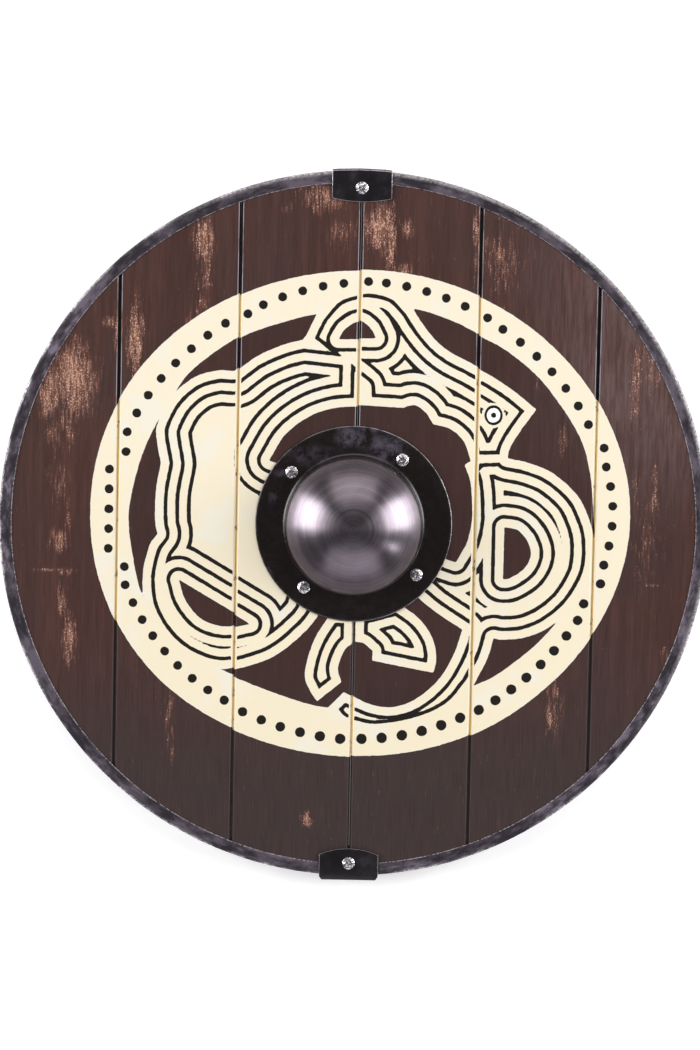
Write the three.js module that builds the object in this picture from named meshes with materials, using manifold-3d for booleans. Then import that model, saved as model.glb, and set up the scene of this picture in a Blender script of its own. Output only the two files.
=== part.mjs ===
// Round shield: six upright boards, a folded steel rim in two half hoops, two steel clips over
// the rim's joints, a domed steel boss over the hand hole, six blind rivets and a wooden grip bar.
// It lies on its back. +Z is the front, +Y the top edge, and the origin is under the middle of
// the grip bar. Lengths are in millimetres.
import * as THREE from "three";
import { mergeVertices } from "three/addons/utils/BufferGeometryUtils.js";
import Module from "manifold-3d";

// ---- Driving dimensions -------------------------------------------------------------------
const SHIELD_RADIUS = 305;
const ROUND_SEGMENTS = 96; // shared by every ring round the shield, so that the facets line up
const FIT_GAP = 0.3;
const FAR = 400; // reaches past the shield on every side

const BOARD_COUNT = 6;
const BOARD_PITCH = 102.5;
const BOARD_THICKNESS = 12;
const CENTRE_JOINT_X = 1.5; // the middle joint is a little off the shield's centre
const GROOVE_HALF_WIDTH = 2.2;
const GROOVE_DEPTH = 2;
const GROOVE_CHAMFER = 0.9;

const RIM_SHEET = 1.2;
const RIM_FLANGE = 11;
const RIM_BEND = 2;
const RIM_JOINT_GAP = 1;
const RIM_INNER_BEND = RIM_BEND - RIM_SHEET;
const BOARD_RADIUS = SHIELD_RADIUS - RIM_BEND;

const CLIP_SHEET = 1.2;
const CLIP_WIDTH = 51;
const CLIP_REACH = 5; // the curved fold is turned this much deeper than the plate it is cut to
const TOP_CLIP = { innerMiddle: 278, innerSide: 281, outer: 320, cornerX: 1, cornerY: 1, rivetY: 290 };
const BOTTOM_CLIP = {
  innerMiddle: 280.7,
  innerSide: 286,
  outer: 308.2,
  cornerX: 2,
  cornerY: 3,
  rivetY: 293.5,
};

const BOSS_CENTRE = new THREE.Vector2(0, 2);
const BOSS_SHEET = 1.6;
const BOSS_SEGMENTS = 48;
const BOSS_FLANGE_RADIUS = 84.5;
const BOSS_WALL_RADIUS = 58;
const BOSS_FILLET = 4;
const BOSS_SHOULDER = 4.5;
const BOSS_SHOULDER_Z = 20;
const BOSS_CAP_SLOPE = THREE.MathUtils.degToRad(48); // of the cap where it leaves the shoulder
const HAND_HOLE_RADIUS = 54;

const BOSS_RIVET_CIRCLE = 69.5;
const BOSS_RIVET_DEGREES = [54, 141, 233, 322];
const RIVET = {
  head: 5.5,
  dome: 1.9,
  brim: 0.5,
  shank: 2.4,
  mandrel: 1.3,
  recess: 0.7,
  bulb: 4,
  tail: 4.8,
  segments: 12,
};

const GRIP = {
  halfLength: 270,
  depth: 15, // how far it stands off the boards' back
  endDepth: 8,
  flatHalfLength: 130,
  waistHalfLength: 30,
  waistHalfWidth: 14,
  shoulderX: 62,
  shoulderHalfWidth: 19,
  endHalfWidth: 11,
  palmRise: 7, // the palm part swells into the hand hole
  palmTopHalfLength: 18,
  palmHalfLength: 44,
  corner: 5,
  arris: 1.2,
  steps: 36,
};

const FRONT = BOARD_THICKNESS; // heights are above the boards' back inside the panel group
const CLIP_FRONT = FRONT + RIM_SHEET + CLIP_SHEET;
const CLIP_BACK = -RIM_SHEET - CLIP_SHEET;

// ---- Materials ----------------------------------------------------------------------------
const finish = (color, roughness, metalness) =>
  new THREE.MeshStandardMaterial({ color, roughness, metalness });
const STAINED_WOOD = finish(0x50392f, 0.6, 0);
const RIM_STEEL = finish(0x3d3a42, 0.45, 0.9);
const BLACK_STEEL = finish(0x1f1c1f, 0.4, 0.6);
const BOSS_STEEL = finish(0x6e6b70, 0.3, 1);
const ZINC = finish(0xc8c8cc, 0.3, 1);

// ---- Solids -------------------------------------------------------------------------------
const wasm = await Module();
wasm.setup();

/** A closed geometry as a manifold-3d solid with its faces pointing out. */
function solidOf(geometry) {
  const bare = geometry.index ? geometry.toNonIndexed() : geometry.clone();
  bare.deleteAttribute("normal");
  bare.deleteAttribute("uv");
  const merged = mergeVertices(bare, 1e-4);
  const make = (triVerts) =>
    new wasm.Manifold(
      new wasm.Mesh({
        numProp: 3,
        vertProperties: merged.attributes.position.array,
        triVerts,
      }),
    );
  const triangles = new Uint32Array(merged.index.array);
  const solid = make(triangles);
  if (solid.volume() > 0) return solid;
  for (let i = 0; i < triangles.length; i += 3) {
    [triangles[i + 1], triangles[i + 2]] = [triangles[i + 2], triangles[i + 1]];
  }
  return make(triangles);
}

/** A manifold-3d solid as a geometry. */
function geometryOf(solid) {
  const mesh = solid.getMesh();
  const positions = new Float32Array(mesh.numVert * 3);
  for (let i = 0; i < mesh.numVert; i++) {
    positions.set(mesh.vertProperties.subarray(i * mesh.numProp, i * mesh.numProp + 3), i * 3);
  }
  const geometry = new THREE.BufferGeometry();
  geometry.setAttribute("position", new THREE.BufferAttribute(positions, 3));
  geometry.setIndex(new THREE.BufferAttribute(mesh.triVerts, 1));
  geometry.computeVertexNormals();
  return geometry;
}

/** An outline in the XY plane, extruded from zLow to zHigh. */
function prism(shape, zLow, zHigh, curveSegments = 12) {
  const options = { depth: zHigh - zLow, bevelEnabled: false, curveSegments };
  return solidOf(new THREE.ExtrudeGeometry(shape, options).translate(0, 0, zLow));
}

/** An outline in the XZ plane, extruded along Y from -FAR to FAR. */
function section(points) {
  const shape = new THREE.Shape(points.map(([x, z]) => new THREE.Vector2(x, z)));
  const options = { depth: 2 * FAR, bevelEnabled: false };
  return solidOf(new THREE.ExtrudeGeometry(shape, options).rotateX(Math.PI / 2).translate(0, FAR, 0));
}

/** A profile of [radius, height] points, turned about Z. */
function turned(profile, segments) {
  const points = profile.map(([r, z]) => new THREE.Vector2(r, z));
  return solidOf(new THREE.LatheGeometry(points, segments).rotateX(Math.PI / 2));
}

/** A round bar along Z. */
function rod(radius, zLow, zHigh, segments, x = 0, y = 0) {
  const geometry = new THREE.CylinderGeometry(radius, radius, zHigh - zLow, segments);
  return solidOf(geometry.rotateX(Math.PI / 2).translate(x, y, (zLow + zHigh) / 2));
}

/** An axis-aligned block between two corners. */
function block(low, high) {
  const size = high.map((value, axis) => value - low[axis]);
  const middle = high.map((value, axis) => (value + low[axis]) / 2);
  return solidOf(new THREE.BoxGeometry(...size).translate(...middle));
}

/** Points on an arc about [cx, cy], from one angle to another in degrees. */
function arc([cx, cy], radius, from, to, steps) {
  return Array.from({ length: steps + 1 }, (_, i) => {
    const angle = THREE.MathUtils.degToRad(from + ((to - from) * i) / steps);
    return [cx + radius * Math.cos(angle), cy + radius * Math.sin(angle)];
  });
}

function named(name, solid, material) {
  const mesh = new THREE.Mesh(geometryOf(solid), material);
  mesh.name = name;
  return mesh;
}

// ---- Rivet places, in the panel's frame ---------------------------------------------------
const bossRivets = BOSS_RIVET_DEGREES.map((degrees) => {
  const angle = THREE.MathUtils.degToRad(degrees);
  const spoke = new THREE.Vector2(Math.cos(angle), Math.sin(angle));
  return BOSS_CENTRE.clone().addScaledVector(spoke, BOSS_RIVET_CIRCLE);
});
const topClipRivet = new THREE.Vector2(CENTRE_JOINT_X, TOP_CLIP.rivetY);
const bottomClipRivet = new THREE.Vector2(CENTRE_JOINT_X, -BOTTOM_CLIP.rivetY);

/** The clearance holes that the rivets pass through. */
function rivetHoles(places) {
  const radius = RIVET.shank + FIT_GAP;
  return places
    .map(({ x, y }) => rod(radius, -10, FRONT + 10, RIVET.segments, x, y))
    .reduce((all, hole) => all.add(hole));
}

// ---- Boards -------------------------------------------------------------------------------
/** Half of the groove at a joint, as [distance from the joint, height] from the back up. */
const JOINT_EDGE = [
  [FIT_GAP / 2, 0],
  [FIT_GAP / 2, FRONT - GROOVE_DEPTH],
  [GROOVE_HALF_WIDTH - GROOVE_CHAMFER, FRONT - GROOVE_DEPTH],
  [GROOVE_HALF_WIDTH - GROOVE_CHAMFER, FRONT - GROOVE_CHAMFER],
  [GROOVE_HALF_WIDTH, FRONT],
];

/** One board, cut from the round panel between two joints. */
function board(index, panelDisc) {
  const left = CENTRE_JOINT_X + (index - BOARD_COUNT / 2) * BOARD_PITCH;
  const right = left + BOARD_PITCH;
  const leftEdge = JOINT_EDGE.map(([d, z]) => [left + d, z]);
  const rightEdge = JOINT_EDGE.map(([d, z]) => [right - d, z]);
  if (index === 0) leftEdge.splice(0, leftEdge.length, [-FAR, 0], [-FAR, FRONT]);
  if (index === BOARD_COUNT - 1) rightEdge.splice(0, rightEdge.length, [FAR, 0], [FAR, FRONT]);
  return section([...rightEdge, ...leftEdge.reverse()]).intersect(panelDisc);
}

function boards() {
  const holes = rivetHoles([...bossRivets, topClipRivet, bottomClipRivet]);
  const handHole = rod(HAND_HOLE_RADIUS, -1, FRONT + 1, BOSS_SEGMENTS, BOSS_CENTRE.x, BOSS_CENTRE.y);
  const disc = rod(BOARD_RADIUS, 0, FRONT, ROUND_SEGMENTS).subtract(handHole).subtract(holes);
  return Array.from({ length: BOARD_COUNT }, (_, i) =>
    named(`board_${i + 1}`, board(i, disc), STAINED_WOOD),
  );
}

// ---- Rim ----------------------------------------------------------------------------------
/** The folded strip's closed section: two flanges and a wall round the boards' edge. */
function rimProfile() {
  const lip = SHIELD_RADIUS - RIM_FLANGE;
  const bendZ = [RIM_INNER_BEND, FRONT - RIM_INNER_BEND];
  const start = [lip, FRONT];
  return [
    start,
    [lip, FRONT + RIM_SHEET],
    ...arc([BOARD_RADIUS, bendZ[1]], RIM_BEND, 90, 0, 2),
    ...arc([BOARD_RADIUS, bendZ[0]], RIM_BEND, 0, -90, 2),
    [lip, -RIM_SHEET],
    [lip, 0],
    ...arc([BOARD_RADIUS, bendZ[0]], RIM_INNER_BEND, -90, 0, 1),
    ...arc([BOARD_RADIUS, bendZ[1]], RIM_INNER_BEND, 0, 90, 1),
    start,
  ];
}

function rimHalves() {
  const hoop = turned(rimProfile(), ROUND_SEGMENTS).subtract(rivetHoles([bottomClipRivet]));
  const jointLeft = CENTRE_JOINT_X - RIM_JOINT_GAP / 2;
  const jointRight = CENTRE_JOINT_X + RIM_JOINT_GAP / 2;
  const leftSide = block([-FAR, -FAR, -FAR], [jointLeft, FAR, FAR]);
  const rightSide = block([jointRight, -FAR, -FAR], [FAR, FAR, FAR]);
  return [
    named("rim_left", hoop.intersect(leftSide), RIM_STEEL),
    named("rim_right", hoop.intersect(rightSide), RIM_STEEL),
  ];
}

// ---- Clips --------------------------------------------------------------------------------
/** A clip's plan about x: a plate whose inner edge bows inwards from innerSide to innerMiddle. */
function clipPlan({ innerMiddle, innerSide, outer, cornerX, cornerY }, x) {
  const left = x - CLIP_WIDTH / 2;
  const right = x + CLIP_WIDTH / 2;
  const bow = innerSide - innerMiddle;
  const radius = ((CLIP_WIDTH / 2) ** 2 + bow ** 2) / (2 * bow);
  const sweep = Math.asin(CLIP_WIDTH / 2 / radius);
  const middle = -Math.PI / 2;
  const plan = new THREE.Shape();
  plan.moveTo(right, innerSide);
  plan.lineTo(right, outer - cornerY);
  plan.lineTo(right - cornerX, outer);
  plan.lineTo(left + cornerX, outer);
  plan.lineTo(left, outer - cornerY);
  plan.lineTo(left, innerSide);
  plan.absarc(x, innerMiddle + radius, radius, middle - sweep, middle + sweep, false);
  return plan;
}

/** The top clip is folded to the rim's curve. */
function topClip() {
  const reach = SHIELD_RADIUS + FIT_GAP;
  const inner = TOP_CLIP.innerMiddle - CLIP_REACH;
  const fold = turned(
    [
      [inner, FRONT + RIM_SHEET],
      [reach, FRONT + RIM_SHEET],
      [reach, -RIM_SHEET],
      [inner, -RIM_SHEET],
      [inner, CLIP_BACK],
      [reach, CLIP_BACK],
      [reach + CLIP_SHEET, -RIM_SHEET],
      [reach + CLIP_SHEET, FRONT + RIM_SHEET],
      [reach, CLIP_FRONT],
      [inner, CLIP_FRONT],
      [inner, FRONT + RIM_SHEET],
    ],
    ROUND_SEGMENTS,
  );
  const plan = prism(clipPlan(TOP_CLIP, CENTRE_JOINT_X), -FAR, FAR);
  const plate = fold.intersect(plan).subtract(rivetHoles([topClipRivet]));
  return named("top_clip", plate, BLACK_STEEL);
}

/** The bottom clip is folded straight and stands clear of the rim. It is the top one half turned. */
function bottomClip() {
  const plate = prism(clipPlan(BOTTOM_CLIP, 0), CLIP_BACK, CLIP_FRONT);
  const pocketEnd = BOTTOM_CLIP.outer - CLIP_SHEET;
  const pocket = block([-FAR, 0, -RIM_SHEET], [FAR, pocketEnd, FRONT + RIM_SHEET]);
  const hole = rivetHoles([new THREE.Vector2(0, BOTTOM_CLIP.rivetY)]);
  const clip = named("bottom_clip", plate.subtract(pocket).subtract(hole), BLACK_STEEL);
  clip.position.x = CENTRE_JOINT_X;
  clip.rotation.z = Math.PI;
  return clip;
}

// ---- Boss ---------------------------------------------------------------------------------
/** One face of the boss sheet from the flange's edge to the crown, this far inside the outer face. */
function bossFace(inset) {
  const capRadius = BOSS_SHOULDER + (BOSS_WALL_RADIUS - BOSS_SHOULDER) / Math.sin(BOSS_CAP_SLOPE);
  const capZ = BOSS_SHOULDER_Z - (capRadius - BOSS_SHOULDER) * Math.cos(BOSS_CAP_SLOPE);
  const slope = THREE.MathUtils.radToDeg(BOSS_CAP_SLOPE);
  const filletCentre = [BOSS_WALL_RADIUS + BOSS_FILLET, BOSS_SHEET + BOSS_FILLET];
  const shoulderCentre = [BOSS_WALL_RADIUS - BOSS_SHOULDER, BOSS_SHOULDER_Z];
  const crown = arc([0, capZ], capRadius - inset, 90 - slope, 90, 6).slice(1, -1);
  return [
    [BOSS_FLANGE_RADIUS, BOSS_SHEET - inset],
    ...arc(filletCentre, BOSS_FILLET + inset, -90, -180, 2),
    ...arc(shoulderCentre, BOSS_SHOULDER - inset, 0, 90 - slope, 2),
    ...crown,
    [0, capZ + capRadius - inset],
  ];
}

function boss() {
  const shell = turned([...bossFace(0).reverse(), ...bossFace(BOSS_SHEET)], BOSS_SEGMENTS);
  const local = bossRivets.map((place) => place.clone().sub(BOSS_CENTRE));
  const mesh = named("boss", shell.subtract(rivetHoles(local)), BOSS_STEEL);
  mesh.position.set(BOSS_CENTRE.x, BOSS_CENTRE.y, FRONT);
  return mesh;
}

// ---- Rivets -------------------------------------------------------------------------------
/** A set blind rivet: a domed head at z 0, a shank as long as the grip, and a bulbed tail. */
function rivet(name, place, headZ, tailZ) {
  const grip = headZ - tailZ;
  const domeRise = RIVET.dome - RIVET.brim;
  const domeRadius = (RIVET.head ** 2 + domeRise ** 2) / (2 * domeRise);
  const domeZ = (r) => RIVET.dome - domeRadius + Math.sqrt(domeRadius ** 2 - r ** 2);
  const profile = [
    [0, RIVET.dome - RIVET.recess],
    [RIVET.mandrel, RIVET.dome - RIVET.recess],
    [RIVET.mandrel + 0.3, domeZ(RIVET.mandrel + 0.3)],
    [RIVET.head * 0.68, domeZ(RIVET.head * 0.68)],
    [RIVET.head, RIVET.brim],
    [RIVET.head, 0],
    [RIVET.shank, 0],
    [RIVET.shank, -grip],
    [RIVET.bulb, -grip],
    [RIVET.bulb, -grip - RIVET.tail * 0.55],
    [RIVET.shank, -grip - RIVET.tail],
    [0, -grip - RIVET.tail],
  ];
  const mesh = named(name, turned(profile, RIVET.segments), ZINC);
  mesh.position.set(place.x, place.y, headZ);
  return mesh;
}

function rivets() {
  const onBoss = bossRivets.map((place, i) =>
    rivet(`boss_rivet_${i + 1}`, place, FRONT + BOSS_SHEET, 0),
  );
  return [
    ...onBoss,
    rivet("top_clip_rivet", topClipRivet, CLIP_FRONT, CLIP_BACK),
    rivet("bottom_clip_rivet", bottomClipRivet, CLIP_FRONT, CLIP_BACK),
  ];
}

// ---- Grip ---------------------------------------------------------------------------------
const smooth = (value, from, to) => THREE.MathUtils.smoothstep(value, from, to);
const mix = THREE.MathUtils.lerp;

/** Half the grip's width at a distance from its middle: waisted for the hand, thin at the ends. */
function gripHalfWidth(x) {
  const { waistHalfLength, waistHalfWidth, shoulderX, shoulderHalfWidth } = GRIP;
  const palm = mix(waistHalfWidth, shoulderHalfWidth, smooth(x, waistHalfLength, shoulderX));
  return mix(palm, GRIP.endHalfWidth, smooth(x, shoulderX, GRIP.halfLength));
}

/** The grip bar, bent out of a straight extrusion of its section. Its underside is at z 0. */
function grip() {
  const { corner, arris, depth, halfLength } = GRIP;
  const half = GRIP.shoulderHalfWidth;
  const outline = [
    ...arc([-half + corner, corner], corner, 180, 270, 3),
    ...arc([half - corner, corner], corner, 270, 360, 3),
    [half, depth - arris],
    [half - arris, depth],
    [-half + arris, depth],
    [-half, depth - arris],
  ];
  const shape = new THREE.Shape(outline.map(([y, z]) => new THREE.Vector2(y, z)));
  const options = { depth: 2 * halfLength, steps: GRIP.steps, bevelEnabled: false };
  const bar = new THREE.ExtrudeGeometry(shape, options).translate(0, 0, -halfLength);
  const places = bar.attributes.position;
  for (let i = 0; i < places.count; i++) {
    const along = places.getZ(i);
    const away = Math.abs(along);
    const low = (depth - GRIP.endDepth) * smooth(away, GRIP.flatHalfLength, halfLength);
    const palm = 1 - smooth(away, GRIP.palmTopHalfLength, GRIP.palmHalfLength);
    const high = depth + GRIP.palmRise * palm;
    const y = (places.getX(i) * gripHalfWidth(away)) / half;
    places.setXYZ(i, along, y, mix(low, high, places.getY(i) / depth));
  }
  return named("grip_bar", solidOf(bar), STAINED_WOOD);
}

// ---- Assembly -----------------------------------------------------------------------------
const panel = new THREE.Group();
panel.position.z = GRIP.depth;
panel.add(
  ...boards(),
  ...rimHalves(),
  topClip(),
  bottomClip(),
  boss(),
  ...rivets(),
);

const shield = new THREE.Group();
shield.name = "round_shield";
shield.add(panel, grip());

export default shield;
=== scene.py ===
"""A wooden round shield that lies on its back: the looks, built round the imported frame.

The planks, the rim's hoops, the clips, the domed boss, the blind rivets and the handle each
stand for the frame's own nodes, and take their places and sizes from them.
"""

import logging
import math
from collections.abc import Sequence
from dataclasses import dataclass
from enum import Enum

import bmesh
import bpy
import numpy as np
from mathutils import Matrix, Vector


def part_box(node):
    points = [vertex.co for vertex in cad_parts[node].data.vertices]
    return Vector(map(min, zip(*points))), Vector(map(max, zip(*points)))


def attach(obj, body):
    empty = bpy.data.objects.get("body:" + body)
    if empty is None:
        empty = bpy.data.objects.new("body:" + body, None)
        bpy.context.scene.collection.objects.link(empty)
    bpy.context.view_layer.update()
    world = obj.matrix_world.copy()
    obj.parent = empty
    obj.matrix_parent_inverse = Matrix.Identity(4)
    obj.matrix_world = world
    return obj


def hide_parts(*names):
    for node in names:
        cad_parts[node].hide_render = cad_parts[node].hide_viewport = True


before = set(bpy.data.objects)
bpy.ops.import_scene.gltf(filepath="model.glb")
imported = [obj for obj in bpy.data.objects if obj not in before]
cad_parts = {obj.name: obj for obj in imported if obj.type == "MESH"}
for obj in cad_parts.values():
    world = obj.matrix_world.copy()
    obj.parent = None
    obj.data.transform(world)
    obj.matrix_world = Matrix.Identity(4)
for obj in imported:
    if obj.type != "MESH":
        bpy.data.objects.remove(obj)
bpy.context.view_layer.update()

LOG = logging.getLogger("round_shield")
MM = 0.001
MERGE = 2e-6
ROOT = "root"

Point = tuple[float, float]
Colour = tuple[float, float, float]
Socket = bpy.types.NodeSocket


# ---- Small helpers ------------------------------------------------------------------------


def srgb(red: float, green: float, blue: float) -> Colour:
    """Turns a colour of 0 to 255 a channel into the linear values that shaders take.

    Args:
        red, green, blue: The channels, as a screen shows them.

    Returns:
        The linear red, green and blue.
    """

    def linear(value: float) -> float:
        part = value / 255
        return part / 12.92 if part <= 0.04045 else ((part + 0.055) / 1.055) ** 2.4

    return linear(red), linear(green), linear(blue)


def arc(centre: Point, radius: float, start: float, end: float, steps: int) -> list[Point]:
    """Gives points on an arc, both ends included, with angles in degrees."""
    angles = np.radians(np.linspace(start, end, steps + 1))
    return [
        (centre[0] + radius * math.cos(a), centre[1] + radius * math.sin(a)) for a in angles
    ]


def smooth_path(points: Sequence[Point], per_span: int = 8) -> np.ndarray:
    """Runs a Catmull-Rom curve through the points.

    Args:
        points: Two or more points. Two give a straight line.
        per_span: Steps between one point and the next.

    Returns:
        The points of the curve, one a row.
    """
    base = np.asarray(points, float)
    if len(base) == 2:
        return base
    padded = np.vstack([2 * base[0] - base[1], base, 2 * base[-1] - base[-2]])
    t = np.linspace(0, 1, per_span, endpoint=False)[:, None]
    spans = []
    for a, b, c, d in zip(padded, padded[1:], padded[2:], padded[3:]):
        cubic = 3 * b - a - 3 * c + d
        square = 2 * a - 5 * b + 4 * c - d
        spans.append(0.5 * (2 * b + (c - a) * t + square * t**2 + cubic * t**3))
    return np.vstack([*spans, base[-1:]])


def add_object(name: str, data: bpy.types.ID) -> bpy.types.Object:
    """Puts new data in the scene as an object at the origin."""
    made = bpy.data.objects.new(name, data)
    bpy.context.scene.collection.objects.link(made)
    return made


def mesh_of(name: str, vertices: np.ndarray, faces: Sequence[Sequence[int]]) -> bpy.types.Mesh:
    """Makes a mesh from vertex places in metres and faces."""
    mesh = bpy.data.meshes.new(name)
    mesh.from_pydata(vertices.tolist(), [], [list(face) for face in faces])
    mesh.update()
    return mesh


def tidy_mesh(mesh: bpy.types.Mesh, smooth_angle: float | None = None) -> None:
    """Merges doubles, turns the faces outwards and sets the shading.

    Args:
        mesh: The mesh to tidy in place.
        smooth_angle: Edges sharper than this many degrees stay crisp. None gives flat faces.
    """
    work = bmesh.new()
    work.from_mesh(mesh)
    bmesh.ops.remove_doubles(work, verts=work.verts, dist=MERGE)
    bmesh.ops.dissolve_degenerate(work, edges=work.edges, dist=MERGE)
    bmesh.ops.recalc_face_normals(work, faces=work.faces)
    if work.calc_volume(signed=True) < 0:
        bmesh.ops.reverse_faces(work, faces=work.faces)
    work.to_mesh(mesh)
    work.free()
    if smooth_angle is None:
        mesh.shade_flat()
    else:
        mesh.shade_smooth()
        mesh.set_sharp_from_angle(angle=math.radians(smooth_angle))


def baked(made: bpy.types.Object) -> bpy.types.Object:
    """Turns an object's modifiers into a plain mesh and takes them off."""
    graph = bpy.context.evaluated_depsgraph_get()
    mesh = bpy.data.meshes.new_from_object(made.evaluated_get(graph), depsgraph=graph)
    old = made.data
    made.modifiers.clear()
    made.data = mesh
    mesh.name = made.name
    if isinstance(old, bpy.types.Mesh):
        bpy.data.meshes.remove(old)
    return made


def install(piece: bpy.types.Object, slot: str, *nodes: str) -> None:
    """Makes a piece ride with the shield and stand for nodes, whose own meshes it hides."""
    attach(piece, ROOT)
    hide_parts(*nodes)
    LOG.info("%s: %d faces, for %s", piece.name, len(piece.data.polygons), ", ".join(nodes))


def keep(mesh: bpy.types.Mesh, name: str, values: np.ndarray) -> None:
    """Keeps one number for each vertex under a name."""
    kept = mesh.attributes.new(name, "FLOAT", "POINT")
    kept.data.foreach_set("value", values.astype(np.float32))


def finish_in(mesh: bpy.types.Mesh, *materials: bpy.types.Material) -> None:
    """Gives a mesh these materials and no others."""
    mesh.materials.clear()
    for material in materials:
        mesh.materials.append(material)


def ease(value: np.ndarray, start: float, end: float) -> np.ndarray:
    """Eases from 0 to 1 while the value goes from start to end."""
    share = np.clip((value - start) / (end - start), 0, 1)
    return share * share * (3 - 2 * share)


def middle_of(node: str) -> Vector:
    """Gives the middle of a node's box."""
    low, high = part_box(node)
    return (low + high) / 2


# ---- Node trees written as expressions ----------------------------------------------------


class Graph:
    """A node tree whose nodes are added by expressions."""

    def __init__(self, tree: bpy.types.NodeTree) -> None:
        """Keeps the tree to add to."""
        self.tree = tree

    def add(self, kind: str, inputs: dict | None = None, **settings: object) -> bpy.types.Node:
        """Adds one node.

        Args:
            kind: The node's type name.
            inputs: Input name or number to a value, or to the socket that feeds it.
            settings: Node properties to set first.

        Returns:
            The node.
        """
        node = self.tree.nodes.new(kind)
        for key, value in settings.items():
            setattr(node, key, value)
        for key, value in (inputs or {}).items():
            if isinstance(value, bpy.types.NodeSocket):
                self.tree.links.new(value, node.inputs[key])
            else:
                node.inputs[key].default_value = value
        return node

    def math(self, operation: str, first: object, second: object = 0.0) -> Socket:
        """Adds a math node and gives its result."""
        return self.add("ShaderNodeMath", {0: first, 1: second}, operation=operation).outputs[0]

    def times(self, first: object, second: object) -> Socket:
        """Multiplies two numbers."""
        return self.math("MULTIPLY", first, second)

    def plus(self, first: object, second: object) -> Socket:
        """Adds two numbers."""
        return self.math("ADD", first, second)

    def vector(self, operation: str, first: object, second: object = (0, 0, 0)) -> Socket:
        """Adds a vector math node and gives its vector."""
        node = self.add("ShaderNodeVectorMath", {0: first, 1: second}, operation=operation)
        return node.outputs["Vector"]

    def join(self, x: object = 0.0, y: object = 0.0, z: object = 0.0) -> Socket:
        """Joins three numbers into a vector."""
        return self.add("ShaderNodeCombineXYZ", {0: x, 1: y, 2: z}).outputs[0]

    def split(self, vector: Socket) -> tuple[Socket, Socket, Socket]:
        """Splits a vector into its three numbers."""
        outputs = self.add("ShaderNodeSeparateXYZ", {0: vector}).outputs
        return outputs[0], outputs[1], outputs[2]

    def length(self, vector: Socket) -> Socket:
        """Gives a vector's length."""
        node = self.add("ShaderNodeVectorMath", {0: vector}, operation="LENGTH")
        return node.outputs["Value"]

    def ramp(
        self, value: object, start: float, end: float, low: float = 0.0, high: float = 1.0
    ) -> Socket:
        """Eases from low to high while the value goes from start to end."""
        inputs = {"Value": value, 1: start, 2: end, 3: low, 4: high}
        node = self.add("ShaderNodeMapRange", inputs, interpolation_type="SMOOTHSTEP", clamp=True)
        return node.outputs[0]

    def noise(self, vector: Socket, scale: float, detail: float = 2.0, rough: float = 0.5) -> Socket:
        """Gives smooth noise of 0 to 1 at a scale in cycles to the metre."""
        inputs = {"Vector": vector, "Scale": scale, "Detail": detail, "Roughness": rough}
        return self.add("ShaderNodeTexNoise", inputs, noise_dimensions="3D").outputs[0]


class Shader(Graph):
    """A material's node tree with one Principled shader."""

    def __init__(self, name: str) -> None:
        """Makes the material and keeps its shader and the place being shaded."""
        self.material = bpy.data.materials.new(name)
        self.material.use_nodes = True
        super().__init__(self.material.node_tree)
        self.shader = self.tree.nodes["Principled BSDF"]
        self.place = self.add("ShaderNodeTexCoord").outputs["Object"]

    def attribute(self, name: str) -> Socket:
        """Gives a number kept on the mesh."""
        return self.add("ShaderNodeAttribute", attribute_name=name).outputs["Fac"]

    def mix(self, factor: object, first: object, second: object) -> Socket:
        """Mixes two colours by a factor of 0 to 1."""
        node = self.add("ShaderNodeMix", data_type="RGBA", clamp_factor=True)
        for index, value in ((0, factor), (6, first), (7, second)):
            if isinstance(value, bpy.types.NodeSocket):
                self.tree.links.new(value, node.inputs[index])
            elif index == 0:
                node.inputs[index].default_value = value
            else:
                node.inputs[index].default_value = (*value, 1.0)
        return node.outputs[2]

    def blend(self, factor: object, first: object, second: object) -> Socket:
        """Mixes two numbers by a factor of 0 to 1."""
        node = self.add("ShaderNodeMix", {0: factor, 2: first, 3: second}, clamp_factor=True)
        return node.outputs[0]

    def bump(self, height: Socket, depth: float, strength: float = 1.0) -> Socket:
        """Gives the normal of a surface whose height of 0 to 1 stands for a depth in metres."""
        inputs = {"Height": height, "Distance": depth, "Strength": strength}
        return self.add("ShaderNodeBump", inputs).outputs[0]

    def dress(self, **inputs: object) -> bpy.types.Material:
        """Sets the shader's inputs, named with underscores for spaces, and gives the material."""
        for key, value in inputs.items():
            target = self.shader.inputs[key.replace("_", " ")]
            if isinstance(value, bpy.types.NodeSocket):
                self.tree.links.new(value, target)
            elif isinstance(value, tuple):
                target.default_value = (*value, 1.0)
            else:
                target.default_value = value
        return self.material


# ---- The painted design -------------------------------------------------------------------
# Millimetres: x from the middle joint, y from the shield's centre. Each side of an area is a
# smooth curve through its points, and sides meet at corners.


class Paint(Enum):
    """The paints and marks on the planks, each kept as a distance inside its edge."""

    CREAM = "cream"
    INK = "ink"
    WHITE = "white"
    INNER = "inner"
    WEAR = "wear"


@dataclass(frozen=True)
class Area:
    """A painted area inside a closed outline."""

    sides: tuple[tuple[Point, ...], ...]

    def outline(self) -> np.ndarray:
        """Gives the closed outline's points."""
        return np.vstack([smooth_path(side)[:-1] for side in self.sides])

    def inside(self, places: np.ndarray) -> np.ndarray:
        """Gives how far each place lies inside the edge, negative outside."""
        return polygon_inside(self.outline(), places)


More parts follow.
